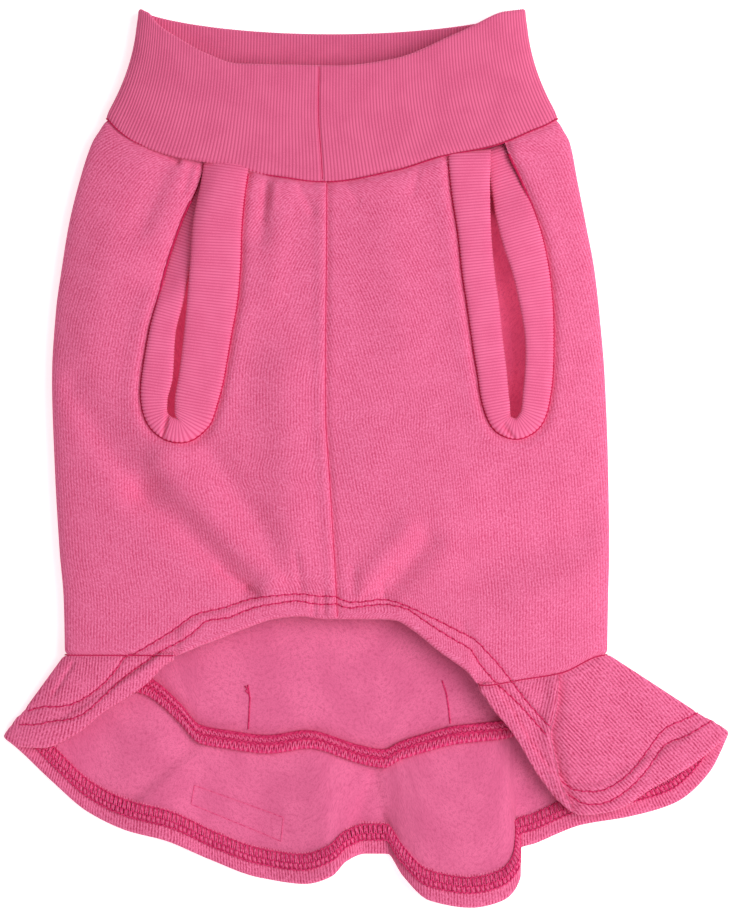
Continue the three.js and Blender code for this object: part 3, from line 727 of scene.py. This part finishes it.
def fleece(name, dark, plain, light):
    """The brushed inside: soft patches, with darker specks of nap and fuzz."""
    finish = Finish(name, 1.0, 0.4)
    where = finish.place(*finish.chart())
    nap = finish.noise(where, 1.3, 4.0)
    fuzz = finish.noise(where, 0.5, 2.0)
    patches = finish.noise(where, 16, 3.0)
    colour = finish.mix(finish.spread(patches, 0.35, 0.65), plain, light)
    colour = finish.mix(finish.scaled(finish.spread(nap, 0.45, 0.75), 0.5), colour, dark)
    colour = finish.mix(finish.scaled(finish.spread(fuzz, 0.45, 0.7), 0.5), colour, dark)
    relief = finish.scaled(nap, 1.0, fuzz)
    return finish.finish(colour, relief, 0.12)


def ribbing(name, dark, plain, light, pitch):
    """Rib knit: the ribs are modelled; here are their loops and painted shade in their valleys."""
    finish = Finish(name, 0.9, 0.2)
    u, v = finish.chart()
    rib = finish.scaled(finish.wave(u, pitch), 0.5, 0.5)
    where = finish.place(u, v)
    patches = finish.noise(where, 10, 3.0)
    fuzz = finish.noise(where, 0.45, 2.0)
    loops = finish.wave(v, 0.9)
    colour = finish.mix(finish.spread(patches, 0.35, 0.65), plain, light)
    colour = finish.mix(finish.spread(fuzz, 0.3, 0.75), colour, light)
    # The dark colour in the valleys between the ribs is painted shade
    colour = finish.mix(finish.scaled(finish.spread(rib, 0.75, 0.0), 0.75), colour, dark)
    relief = finish.scaled(loops, 0.12, fuzz)
    return finish.finish(colour, relief, 0.07)


def thread(name, dark, light):
    finish = Finish(name, 0.7, 0.1)
    where = finish.node("ShaderNodeTexCoord", {}).outputs["Object"]
    strand = finish.noise(where, 0.9 * MM, 2.0)
    colour = finish.mix(finish.spread(strand, 0.35, 0.65), dark, light)
    return finish.finish(colour, strand, 0.06)


# The first colour of each jersey and ribbing is painted shade for the valleys of its knit
JERSEY = jersey("jersey", (203, 57, 102), (226, 95, 139), (249, 132, 176), 1.0)
SKIRT_JERSEY = jersey("skirt_jersey", (186, 48, 90), (228, 98, 142), (250, 130, 174), 1.3)
FLEECE = fleece("fleece", (196, 72, 118), (226, 104, 148), (238, 114, 158))
NECK_RIBBING = ribbing("rib_neck", (192, 70, 110), (222, 97, 139), (236, 110, 152), NECK_RIB)
LEG_RIBBING = ribbing("rib_leg", (214, 76, 122), (234, 103, 147), (246, 118, 162), LEG_RIB)
THREAD = thread("thread", (196, 24, 88), (228, 58, 118))
PALE_THREAD = thread("pale_thread", (216, 62, 120), (240, 106, 152))
# Dark crimson seam thread: partly the thread's own colour, partly painted shade of the seam
# ditches
SEAM_THREAD_AND_SHADE = thread("seam_thread_and_shade", (186, 14, 72), (204, 28, 88))


# Body

def seam_relief(away):
    """Across the centre front seam: the left cloth rolls over the right one."""
    return np.where(away < 0, profile(away, ROLLED_SIDE), profile(away, COVERED_SIDE))


def from_segment(x, y, start, end):
    """Distance from places to a straight line between two points."""
    run = end - start
    t = np.clip(((x - start[0]) * run[0] + (y - start[1]) * run[1]) / (run @ run), 0, 1)
    return np.hypot(x - start[0] - t * run[0], y - start[1] - t * run[1])


def crease_relief(x, y):
    relief = 0
    for x0, y0, x1, y1, height, spread in zip(*CREASES.values()):
        away = from_segment(x, y, np.array([x0, y0]), np.array([x1, y1]))
        relief = relief + height * bell(away, spread)
    return relief


def catmull_rom(points, count, tension=None):
    """Points along a smooth curve through others, evenly between them. Without a tension
    the curve is a centripetal one, which doesn't loop."""
    first = 2 * points[0] - points[1]
    last = 2 * points[-1] - points[-2]
    padded = np.vstack([first, points, last])
    at = np.linspace(0, len(points) - 1, count)
    i = np.minimum(at.astype(int), len(points) - 2)
    t = (at - i)[:, None]
    p0, p1, p2, p3 = (padded[i + k] for k in range(4))
    if tension is None:
        pairs = ((p0, p1), (p1, p2), (p2, p3))
        gap = [np.sqrt(np.linalg.norm(b - a, axis=1))[:, None] for a, b in pairs]
        from_slope = (p1 - p0) / gap[0] - (p2 - p0) / (gap[0] + gap[1]) + (p2 - p1) / gap[1]
        to_slope = (p2 - p1) / gap[1] - (p3 - p1) / (gap[1] + gap[2]) + (p3 - p2) / gap[2]
        from_slope, to_slope = from_slope * gap[1], to_slope * gap[1]
    else:
        from_slope, to_slope = tension * (p2 - p0), tension * (p3 - p1)
    squared, cubed = t * t, t * t * t
    eased = 3 * squared - 2 * cubed
    return (
        lerp(p1, p2, eased)
        + from_slope * (cubed - 2 * squared + t)
        + to_slope * (cubed - squared)
    )


def band_path(rows, count=2400):
    """A leg band's middle line at even steps, run on past the neck seam at both ends."""
    place = np.stack([rows["across"] * HALF_CHEST, SHOULDER_Y - rows["down"] * LEG_DEPTH], axis=1)
    shape = np.stack([rows["width"] * LEG_BAND_WIDTH, rows["sink"]], axis=1)
    before = place[0] + LEG_BAND_OVERRUN * unit(place[0] - place[1])
    after = place[-1] + LEG_BAND_OVERRUN * unit(place[-1] - place[-2])
    place = catmull_rom(np.vstack([before, place, after]), count)
    shape = catmull_rom(np.vstack([shape[0], shape, shape[-1]]), count, 0.4)
    return {
        "place": place,
        "side": rightward(place),
        "width": shape[:, 0],
        "sink": np.clip(shape[:, 1], 0, 1),
        "run": run_along(place),
    }


FRONT_STITCHES = [
    catmull_rom(xy(rows), 40 * len(rows["x"]))
    for rows in (STITCHES_NEAR_EDGE, STITCHES_FAR, RIGHT_STITCHES_NEAR_EDGE, RIGHT_STITCHES_FAR)
]
LEFT_PATH = band_path(LEFT_BAND)
RIGHT_PATH = band_path(RIGHT_BAND)


def enclosed(outline):
    x, y = outline.T
    return abs(np.sum(x * np.roll(y, -1) - y * np.roll(x, -1))) / 2


def band_outline(path, level, sunk):
    """A line inside a band's outer edge by one distance where the band lies level with the
    cloth and by another where it is sunk."""
    off = (path["width"] / 2 - lerp(level, sunk, path["sink"]))[:, None] * path["side"]
    return max(path["place"] + off, path["place"] - off, key=enclosed)


def away_from(outline, x, y):
    """Distance from places to a line of points, of which every twelfth is used."""
    line = outline[::12]
    nearest = np.full(x.shape, 1e9)
    for start, end in zip(line[:-1], line[1:]):
        nearest = np.minimum(nearest, from_segment(x, y, start, end))
    return nearest


BAND_HOLES = [band_outline(path, LEVEL_OVERLAP, SEWN_OVERLAP) for path in (LEFT_PATH, RIGHT_PATH)]
BAND_SEAMS = [band_outline(path, -0.1, SEWN_OVERLAP) for path in (LEFT_PATH, RIGHT_PATH)]


def front_stitch_relief(x, y):
    """How the two lines of stitches dent the front's cloth along the hem."""
    return -NEEDLE_DENT * sum(bell(away_from(line, x, y), 0.7) for line in FRONT_STITCHES)


def body_relief(theta, down, facing):
    place = body_middle(theta, down)
    x, y = place[..., 0], place[..., 1]
    front = smoothstep(np.cos(theta), 0, 0.15)
    length = body_length(theta)
    from_neck, from_edge = down * length, (1 - down) * length
    relief = front * seam_relief(np.sin(theta) * body_half_width(np.sin(theta), down))
    for outline in BAND_SEAMS:
        relief = relief + front * profile(away_from(outline, x, y), BAND_DITCH)
    relief = relief + profile(from_neck, NECK_DITCH) + front * profile(from_neck, BELOW_NECK)
    relief = relief + front * front_stitch_relief(x, y)
    relief = relief + front * crease_relief(x, y)
    relief = relief - (1 - arch_share(theta)) * WAIST_DENT * bell(from_edge, 1)
    return np.maximum(relief, THINNEST - CLOTH) * np.maximum(facing, 0)


def body_turns():
    """Turns round the body: finest near the centre front seam and coarse on the back."""
    quarter = np.radians(np.arange(2, 90.01, 0.5))
    near_seam = np.radians(np.linspace(0, 2, 14)[:-1])
    front = np.concatenate([near_seam, quarter])
    back = np.radians(np.arange(91.8, 268.3, 1.8))
    return np.concatenate([front, back, 2 * np.pi - front[::-1]])


def cut_away(mesh, outline, low, high):
    """Takes an upright block of an outline out of a mesh."""
    shape = bmesh.new()
    corners = [shape.verts.new((x * MM, y * MM, low * MM)) for x, y in outline]
    floor = shape.faces.new(corners)
    raised = bmesh.ops.extrude_face_region(shape, geom=[floor])
    tops = [item for item in raised["geom"] if isinstance(item, bmesh.types.BMVert)]
    bmesh.ops.translate(shape, verts=tops, vec=Vector((0, 0, (high - low) * MM)))
    bmesh.ops.recalc_face_normals(shape, faces=shape.faces)
    cutter = add_object("cutter", mesh_of(shape, "cutter"))
    holder = add_object("holder", mesh)
    cut = holder.modifiers.new("cut", "BOOLEAN")
    cut.object = cutter
    cut.operation = "DIFFERENCE"
    cut.solver = "EXACT"
    made = shaped_mesh(holder)
    for thing in (cutter, holder):
        bpy.data.objects.remove(thing)
    return made


def body_cloth():
    turns = body_turns()
    near_edge = spaced(SIDE_LENGTH, 1.75, 0.6, 24)
    outside = np.concatenate([np.linspace(0, 20, 26) / SIDE_LENGTH, near_edge[12:]])
    inside = np.linspace(0, 1, 40)
    length = body_length(turns)
    sewn = CLOTH / 2 - SEWN_OVERLAP
    insets = (sewn / length, lerp(sewn, HEM_THICKNESS / 2, arch_share(turns)) / length)
    points, facing = wall_points(
        body_middle, body_thickness, body_relief, turns, outside, inside, insets
    )
    points[-1] = points[0]
    u, v = cloth_lengths(points, int(np.argmin(np.abs(turns - np.pi))))
    mesh = grid_mesh("body_cloth", points, u, v, facing < 0)
    for outline in BAND_HOLES:
        mesh = cut_away(mesh, outline[::16], SIDE_HEIGHT, 3 * CROWN_HEIGHT)
    cloth = place_object("body_cloth", mesh, [JERSEY, FLEECE])
    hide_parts("body")
    return cloth


# Neck band

def neck_relief(theta, up, facing):
    front = smoothstep(np.cos(theta), 0, 0.15)
    seam = front * profile(np.sin(theta) * NECK_SEAM_WIDTH / 2, BAND_FRONT_SEAM)
    sewn = profile(up * NECK_BAND_HEIGHT, BAND_SEWN_EDGE)
    return (seam + sewn) * np.maximum(facing, 0)


def neck_band_cloth():
    columns = 1160
    turns = np.linspace(0, 2 * np.pi, columns + 1)
    outside = np.linspace(0, 1, 30)
    inside = np.linspace(0, 1, 12)
    rim = np.full(columns + 1, NECK_BAND_THICKNESS / 2)
    insets = ((rim - SEWN_OVERLAP) / NECK_BAND_HEIGHT, 0.7 * rim / NECK_BAND_HEIGHT)
    points, facing = wall_points(
        neck_middle, neck_thickness, neck_relief, turns, outside, inside, insets, flipped=True
    )
    u, v = cloth_lengths(points, columns // 2)
    u = np.broadcast_to(u[:, len(outside) // 2][:, None], u.shape)
    theta = np.broadcast_to(turns[:, None], u.shape)
    from_seam = np.where(np.cos(theta) > 0, np.abs(np.sin(theta)), 1) * NECK_SEAM_WIDTH / 2
    ribs = NECK_RIB_HEIGHT * np.sin(2 * np.pi * u / NECK_RIB) * smoothstep(from_seam, 0, 0.5)
    shares, angles = wall_loop(outside, inside)
    share = np.broadcast_to(np.clip(shares, 0.02, 0.98), u.shape)
    out, along = directions(neck_middle, theta, share, True)
    angle = np.broadcast_to(angles, u.shape)
    away = out * np.cos(angle)[..., None] + along * np.sin(angle)[..., None]
    points = above_floor(points + away * ribs[..., None])
    points[-1] = points[0]
    mesh = grid_mesh("neck_band_cloth", points, u, v)
    band = place_object("neck_band_cloth", mesh, [NECK_RIBBING])
    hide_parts("neck_band")
    return band


# Leg bands

def front_height(x, y):
    """Height of the middle of the front at a place on it."""
    down = np.full(np.broadcast(x, y).shape, 0.3)
    for _ in range(8):
        theta = np.arcsin(np.clip(x / body_half_width(x, down), -1, 1))
        top = neck_seam_y(theta)
        down = np.clip((top - y) / (top - lower_edge_y(theta)), 0, 1)
    return body_middle(theta, down)[..., 2]


def leg_band(name, path, node):
    """A folded strip of rib knit that follows the front, its ribs across it."""
    seam = neck_seam_y(np.arcsin(path["place"][:, 0] / HALF_CHEST))
    kept = np.flatnonzero(path["place"][:, 1] < seam + BAND_TUCK)
    start, end = path["run"][kept[0]], path["run"][kept[-1]]
    run = np.linspace(start, end, int((end - start) / LEG_RIB * 5))
    place = resampled(run, path["run"], path["place"])
    side = unit(resampled(run, path["run"], path["side"]))
    width, sink = (np.interp(run, path["run"], path[key]) for key in ("width", "sink"))
    angle = np.concatenate([np.linspace(0, np.pi, 27), np.linspace(np.pi, 2 * np.pi, 9)[1:]])
    circle = np.cos(angle), np.sin(angle)
    out, up = (np.sign(wave) * np.abs(wave) ** BAND_SQUARENESS for wave in circle)
    from_end = np.minimum(run - start, end - run)
    plump = np.sqrt(np.clip(from_end / BAND_SWELL, 0, 1))
    ribs = LEG_RIB_HEIGHT * np.sin(2 * np.pi * run / LEG_RIB) * plump
    ribs = ribs[:, None] * lerp(0.45, 1, out * out)
    across = (width / 2)[:, None] * out + ribs * np.cos(angle)
    flat = place[:, None, :] + side[:, None, :] * across[..., None]
    seat = front_height(flat[..., 0], flat[..., 1]) + LEG_BAND_LIFT
    height = (LEG_BAND_THICKNESS / 2) * up * plump[:, None] + ribs * np.sin(angle)
    tucked = BAND_DIP * (1 - smoothstep(from_end, 0, BAND_DIP_LENGTH))
    level = seat - (sink * (LEG_BAND_THICKNESS + BAND_CLEARANCE) + tucked)[:, None]
    for x0, y0, x1, y1 in zip(*BAND_CREASES.values()):
        away = away_from(np.linspace((x0, y0), (x1, y1), 25), flat[..., 0], flat[..., 1])
        height = height - BAND_CREASE * bell(away, 0.7) * np.maximum(up, 0)
    points = places(flat[..., 0], flat[..., 1], level + height)
    points[0], points[-1] = points[0].mean(axis=0), points[-1].mean(axis=0)
    u = np.broadcast_to(run[:, None], points.shape[:2])
    mesh = grid_mesh(name, points, u, cloth_lengths(points, 0)[1])
    band = place_object(name, mesh, [LEG_RIBBING])
    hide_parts(node)
    return band


# Skirt

def from_crease(x, y):
    """Distance from the skirt's crease, negative to the left of it."""
    line = catmull_rom(xy(SKIRT_CREASE), 240)
    edge = np.interp(-y, -line[:, 1], line[:, 0])
    return np.where(x < edge, -1, 1) * away_from(line, x, y)


def skirt_relief(theta, down, facing):
    place = skirt_middle(theta, down)
    x, y = place[..., 0], place[..., 1]
    front = smoothstep(np.cos(theta), -0.1, 0.1)
    away = from_crease(x, y)
    creased = np.where(away < 0, profile(away, CREASE_ON_TOP), profile(away, CREASE_BENEATH))
    creased = creased * smoothstep(-y, 84, 92)
    stitched = front_stitch_relief(x, y) + crease_relief(x, y) + creased
    reach = (1 - down) * skirt_fall(theta)
    behind = -BACK_NEEDLE_DENT * sum(bell(reach - line, 0.75) for line in HEM_LINES)
    relief = lerp(behind, stitched, front) - WAIST_DENT * bell(down * skirt_fall(theta), 1)
    inner = fold_lift(x, y, INNER_FOLDS) * smoothstep(-np.cos(theta), 0.1, 0.3)
    relief = np.where(facing > 0, relief, inner)
    return np.maximum(relief, THINNEST - CLOTH) * np.abs(facing)


def leaning(x, y, lean):
    """Millimetres across columns of knit that lean by some degrees to the right."""
    lean = np.radians(lean)
    return x * np.cos(lean) - y * np.sin(lean)


def skirt_columns(points, turns, hem_row):
    """Millimetres across the skirt's columns of knit, which lean each way in front."""
    x, y = points[..., 0], points[..., 1]
    around, _ = cloth_lengths(points, len(turns) // 2)
    around = np.broadcast_to(around[:, hem_row][:, None], around.shape)
    above_stitches = 0.765 * (x - 55.6) + 0.644 * (y + 79.7) > 0
    strip = np.where(above_stitches, leaning(x, y, 12), leaning(x, y, -17))
    right = np.where(from_crease(x, y) > 0, leaning(x, y, -43), strip)
    left = leaning(x + 80, y + 95, 4 + 10 * smoothstep(-x, 80, 110))
    front = np.where(x < 0, left, right)
    return np.where(np.cos(turns)[:, None] > 0, front, around)


def skirt_cloth():
    first, last = SKIRT_HEM["turn"][[0, -1]]
    turns = np.radians(np.concatenate([
        np.arange(first, 75, 0.2), np.arange(75, 278, 0.8), np.linspace(278, last, 120)
    ]))
    outside = spaced(64, 1.5, 0.6, 13.5)
    inside = spaced(64, 2, 0.75, 13.5)
    fall = skirt_fall(turns)
    insets = (
        np.minimum((CLOTH / 2 - SEWN_OVERLAP) / fall, 0.3),
        np.minimum(HEM_THICKNESS / 2 / fall, 0.3),
    )
    ends = np.clip(fall / 2, 0.02, 1)
    points, facing = wall_points(
        skirt_middle, skirt_thickness, skirt_relief, turns, outside, inside, insets, ends=ends
    )
    points[0], points[-1] = points[0].mean(axis=0), points[-1].mean(axis=0)
    _, v = cloth_lengths(points, 0)
    shares, _ = wall_loop(outside, inside)
    turned = (1 - shares)[None, :] * fall[:, None] < HEM_DEPTH
    u = skirt_columns(points, turns, len(outside) - 4)
    mesh = grid_mesh("skirt_cloth", points, u, v, (facing < 0) & ~turned)
    cloth = place_object("skirt_cloth", mesh, [SKIRT_JERSEY, FLEECE])
    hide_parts("skirt")
    return cloth


def skirt_inside(theta, reach):
    """Places on the skirt's inside and units out of it, at distances from the hem."""
    down = 1 - reach / skirt_fall(theta)
    out, _ = directions(skirt_middle, theta, down, False)
    half = skirt_thickness(theta, down)[..., None] / 2
    return skirt_middle(theta, down) - out * half, -out


def waist_allowance():
    turns = np.radians(np.linspace(*ALLOWANCE_TURNS, 200))
    shares = np.linspace(0, 1, 9)
    inset = np.full(len(turns), 0.1)

    def surface(theta, share):
        down = share * ALLOWANCE_WIDTH / skirt_fall(theta)
        lift = CLOTH / 2 + ALLOWANCE_THICKNESS / 2
        out, _ = directions(skirt_middle, theta, down, False)
        return skirt_middle(theta, down) - out * lift

    ends = np.sqrt(np.clip(np.minimum(turns - turns[0], turns[-1] - turns) / 0.03, 0, 1))
    points, _ = wall_points(
        surface,
        lambda theta, share: ALLOWANCE_THICKNESS + 0 * theta,
        lambda theta, share, facing: 0 * theta,
        turns, shares, shares, (inset, inset), ends=ends,
    )
    u, v = cloth_lengths(points, 0)
    mesh = grid_mesh("waist_allowance", points, u, v)
    strip = place_object("waist_allowance", mesh, [THREAD])
    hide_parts("skirt_seam_allowance")
    return strip


# Sewing

def threads(name, lines, radius, finish=None):
    """Round threads along lines of points, all in one piece."""
    curve = bpy.data.curves.new(name, "CURVE")
    curve.dimensions = "3D"
    curve.bevel_depth = radius * MM
    curve.bevel_resolution = 1
    curve.use_fill_caps = True
    for line in lines:
        spline = curve.splines.new("POLY")
        spline.points.add(len(line) - 1)
        spline.points.foreach_set("co", np.c_[line * MM, np.ones(len(line))].ravel())
    holder = add_object("holder", curve)
    mesh = shaped_mesh(holder)
    bpy.data.objects.remove(holder)
    shape = bmesh.new()
    shape.from_mesh(mesh)
    bmesh.ops.remove_doubles(shape, verts=shape.verts, dist=0.001 * MM)
    shape.to_mesh(mesh)
    shape.free()
    mesh.name = name
    return place_object(name, mesh, [finish or THREAD])


def even(line, step):
    """A line of points resampled at even steps."""
    run = run_along(line)
    at = np.linspace(0, run[-1], max(int(run[-1] / step), 2))
    return resampled(at, run, line), at


def drape(flat, cloths):
    """Drops flat points onto the highest of some cloths, and gives the places and normals
    there and which of the points landed."""
    landed, normals = [], []
    for x, y in flat:
        best, up = 0.0, Vector((0, 0, 0))
        for cloth in cloths:
            hit, place, normal, _ = cloth.ray_cast((x * MM, y * MM, 60 * MM), (0, 0, -1))
            if hit and place.z > best:
                best, up = place.z, normal
        landed.append((x, y, best / MM))
        normals.append(up)
    normals = np.array(normals)
    return np.array(landed), normals, normals.any(axis=1)


def hem_stitches(cloths):
    """Two lines of stitches dipping where the needle went in, and painted shade at the holes."""
    lines, hole_shades = [], []
    for line in FRONT_STITCHES:
        flat, at = even(line, STITCH / 9)
        sway = STITCH_SWAY * np.sin(2 * np.pi * at / (1.4 * STITCH))
        flat = flat + rightward(flat) * sway[:, None]
        landed, normals, kept = drape(flat, cloths)
        arch = np.abs(np.sin(np.pi * at / STITCH)) ** 0.7
        lines.append((landed + normals * (STITCH_ARCH * arch - STITCH_SUNK)[:, None])[kept])
        # Dark blobs at each needle hole are painted shade for the dimples there
        ends = np.flatnonzero(np.diff(np.floor(at / STITCH)))[:, None] + np.arange(0, 3)
        ends = [i for i in ends if i[-1] < len(landed) and kept[i].all()]
        hole_shades += [landed[i] + 0.02 * normals[i] for i in ends]
    return (
        threads("hem_stitches", lines, THREAD_RADIUS),
        threads("hem_needle_hole_shade", hole_shades, 1.35 * THREAD_RADIUS, SEAM_THREAD_AND_SHADE),
    )


def seams(cloths):
    """The sewn lines in the ditches round the neck, the waist and the leg bands, and down
    the middle of the front and of the neck band. Round the leg bands the thread is thick
    and also paints the shade of the ditch."""
    around = np.radians(np.arange(0, 360.1, 0.7))
    behind = np.radians(np.arange(90, 270.1, 0.7))
    lines, band_seams_and_shade = [], []
    for theta, share in ((around, 0.0), (behind, 1.0)):
        down = np.full_like(theta, share)
        out, _ = directions(body_middle, theta, down, False)
        line = body_middle(theta, down) + out * (CLOTH / 2 - 0.1)
        line[:, 2] = np.maximum(line[:, 2], 0.35)
        lines.append(line)
    turns = (np.arange(ARCH_TURNS[0], -89, -0.5), np.arange(ARCH_TURNS[1], 89, 0.5))
    flats = [body_middle(np.radians(turn), np.ones_like(turn))[:, :2] for turn in turns]
    y = np.arange(lower_edge_y(0.0) + 1, neck_seam_y(0.0), 0.6)
    flats.append(np.stack([seam_x(y), y], axis=1))
    y = np.arange(neck_seam_y(0.0) + 1, mouth_y(0.0), 0.6)
    flats.append(np.stack([neck_seam_x(y), y], axis=1))
    for flat in flats:
        landed, normals, kept = drape(flat, cloths)
        lines.append((landed - 0.05 * normals)[kept])
    for outline in BAND_SEAMS:
        flat, _ = even(outline, 0.5)
        top = neck_seam_y(np.arcsin(flat[:, 0] / HALF_CHEST))
        landed, normals, _ = drape(flat[flat[:, 1] < top - 0.3], cloths)
        band_seams_and_shade.append(landed - 0.1 * normals)
    return (
        threads("seams", lines, SEAM_RADIUS, SEAM_THREAD_AND_SHADE),
        # Thick dark thread round the leg bands: the seam, and painted shade of its ditch
        threads("leg_band_seams_and_shade", band_seams_and_shade, BAND_SEAM_AND_SHADE_RADIUS, SEAM_THREAD_AND_SHADE),
    )


def strokes(turns, near, far, lift, slant, start=0.0):
    """A thread laid to and fro on the skirt's inside, between two distances from the hem."""
    edge, _ = skirt_inside(turns, (near(turns) + far(turns)) / 2)
    run = run_along(edge)
    count = int((run[-1] - 2 * STROKE_MARGIN) / (LOOP_PITCH / 2)) * STROKE_STEPS
    step = np.arange(count) / STROKE_STEPS + start
    phase = np.mod(step, 2)
    side = np.where(phase < 1, phase, 2 - phase)
    at = step * LOOP_PITCH / 2 + slant * (side - 0.5) + STROKE_MARGIN
    theta = np.interp(at, run, turns)
    place, out = skirt_inside(theta, lerp(near(theta), far(theta), side))
    return place + out * (lift * (0.5 + 0.5 * np.sin(np.pi * side)))[:, None]


def chain(turns, reach, lift, wave):
    """A thread along the skirt's inside at a distance from the hem, slightly wavy."""
    fine = np.linspace(turns[0], turns[-1], 1500)
    edge, _ = skirt_inside(fine, reach(fine))
    run = run_along(edge)
    at = np.arange(0, run[-1], LOOP_PITCH / 4)
    theta = np.interp(at, run, fine)
    sway = wave * np.sin(2 * np.pi * at / LOOP_PITCH)
    place, out = skirt_inside(theta, reach(theta) + sway)
    return place + out * lift


def above_hem(height):
    """A function that gives one distance from the hem at each turn."""
    return lambda theta: height + 0 * theta


def below_waist(drop):
    """A function that gives the distance from the hem at a drop below the waist seam."""
    return lambda theta: skirt_fall(theta) - drop


def hem_looper():
    """The hem's looper threads inside the back: edges with strokes between them."""
    turns = np.radians(np.linspace(*LOOPER_TURNS, SEWING_STEPS))
    near, middle, far = (above_hem(line) for line in LOOPER_LINES)
    dark = [
        strokes(turns, near, far, lift=0.2, slant=-0.9, start=1.0),
        chain(turns, near, lift=0.35, wave=0.25),
        chain(turns, middle, lift=0.45, wave=0.35),
        chain(turns, far, lift=0.35, wave=0.25),
    ]
    pale = [
        strokes(turns, near, far, lift=0.35, slant=0.9),
        strokes(turns, near, far, lift=0.15, slant=0.2, start=0.5),
    ]
    return (
        threads("hem_looper", dark, 0.27),
        threads("hem_looper_pale", pale, 0.25, PALE_THREAD),
    )


def overlock():
    """Threads wound over the edge of the waist allowance, and the loops along its edges."""
    turns = np.radians(np.linspace(*ALLOWANCE_TURNS, SEWING_STEPS))
    top = ALLOWANCE_THICKNESS
    near, middle = below_waist(ALLOWANCE_WIDTH + 0.3), below_waist(0.45 * ALLOWANCE_WIDTH)
    far = below_waist(0.5)
    dark = [
        chain(turns, far, lift=top + 0.1, wave=0.3),
        chain(turns, middle, lift=top + 0.3, wave=0.35),
    ]
    pale = [
        strokes(turns, near, middle, lift=top + 0.3, slant=-0.5, start=1.0),
        strokes(turns, middle, far, lift=top + 0.25, slant=1.1),
    ]
    return (
        threads("waist_overlock", dark, 0.27),
        threads("waist_overlock_pale", pale, 0.29, PALE_THREAD),
    )


def inner_seams():
    """Darts in the back's inside above the waist seam, seen through the arch."""
    lines = []
    for line in (LEFT_DART, RIGHT_DART):
        flat, at = even(np.array(line, float), 0.4)
        lines.append(places(flat[:, 0], flat[:, 1], CLOTH + 0.05 + 0.08 * np.sin(4 * at)))
    knot = np.array([(-31.5, -92.4), (-30.4, -93.6), (-31.2, -94.2), (-30.2, -95)])
    lines.append(places(knot[:, 0], knot[:, 1], CLOTH + 0.25))
    return threads("back_darts", lines, 0.3)


def patch_stitches(cloth):
    """A faint stitched rectangle inside the back of the skirt."""
    corners = np.array([(-49.7, -128.2), (-17.6, -139.7), (-18.4, -148.3), (-50.8, -135)])
    sides = [even(np.array(pair), 0.5)[0] for pair in zip(corners, np.roll(corners, -1, axis=0))]
    landed, normals, _ = drape(np.vstack(sides), [cloth])
    return threads("patch_stitches", [landed + 0.02 * normals], 0.17, PALE_THREAD)


# Stage

CAMERA_HEIGHT = 1500
VIEW_WIDTH = 264.96
VIEW_CENTRE = (12.96, -9)
SHARP_HEIGHT = 6
SENSOR = 36
FLOOR_REACH = 3
PAPER_GLOW = 0.55
ROOM_LIGHT = 0.4

# Lamps: name, place, size, power, the place aimed at and colour. The last lies inside the
# dress, in place of the light that comes through real cloth.
LAMPS = [
    ("key", (1.1, 0.12, 1.33), 1.5, 25, (0, 0, 0), (1, 1, 1)),
    ("fill", (0.1, -1.25, 0.6), 0.9, 4.5, (0.03, -0.1, 0), (1, 1, 1)),
    ("through_cloth", (0, 0.03, 0.0026), 0.15, 0.02, (0, 0.03, 0), (1, 0.42, 0.55)),
]


def stage():
    shape = bmesh.new()
    bmesh.ops.create_grid(shape, x_segments=1, y_segments=1, size=FLOOR_REACH)
    mesh = mesh_of(shape, "floor")
    floor = add_object("floor", mesh)
    paper = bpy.data.materials.new("pale_paper")
    paper.use_nodes = True
    inputs = paper.node_tree.nodes["Principled BSDF"].inputs
    inputs["Base Color"].default_value = (0.93, 0.93, 0.93, 1)
    inputs["Roughness"].default_value = 1
    inputs["Emission Color"].default_value = (1, 1, 1, 1)
    inputs["Emission Strength"].default_value = PAPER_GLOW
    mesh.materials.append(paper)


def camera():
    data = bpy.data.cameras.new("camera")
    data.sensor_fit = "HORIZONTAL"
    data.sensor_width = SENSOR
    data.lens = SENSOR * (CAMERA_HEIGHT - SHARP_HEIGHT) / VIEW_WIDTH
    data.clip_start = 0.05
    view = add_object("camera", data)
    view.location = (VIEW_CENTRE[0] * MM, VIEW_CENTRE[1] * MM, CAMERA_HEIGHT * MM)
    bpy.context.scene.camera = view


def lamp(name, place, size, power, aim, colour):
    data = bpy.data.lights.new(name, "AREA")
    data.shape = "DISK"
    data.size = size
    data.energy = power
    data.color = colour
    light = add_object(name, data)
    light.location = place
    light.rotation_euler = (Vector(aim) - Vector(place)).to_track_quat("-Z", "Y").to_euler()


def lights():
    world = bpy.data.worlds.new("room")
    world.use_nodes = True
    background = world.node_tree.nodes["Background"].inputs
    background["Color"].default_value = (1, 1, 1, 1)
    background["Strength"].default_value = ROOM_LIGHT
    bpy.context.scene.world = world
    for row in LAMPS:
        lamp(*row)
    bpy.context.scene.view_settings.view_transform = "Standard"


camera()
lights()
stage()
body = body_cloth()
neck_band = neck_band_cloth()
left_band = leg_band("leg_band_left_cloth", LEFT_PATH, "leg_band_left")
right_band = leg_band("leg_band_right_cloth", RIGHT_PATH, "leg_band_right")
skirt = skirt_cloth()
allowance = waist_allowance()
seam_lines = seams([body, left_band, right_band, skirt, neck_band])
darts = inner_seams()
on_skirt = [allowance, *hem_stitches([body, skirt]), *hem_looper(), *overlock()]
on_skirt.append(patch_stitches(skirt))
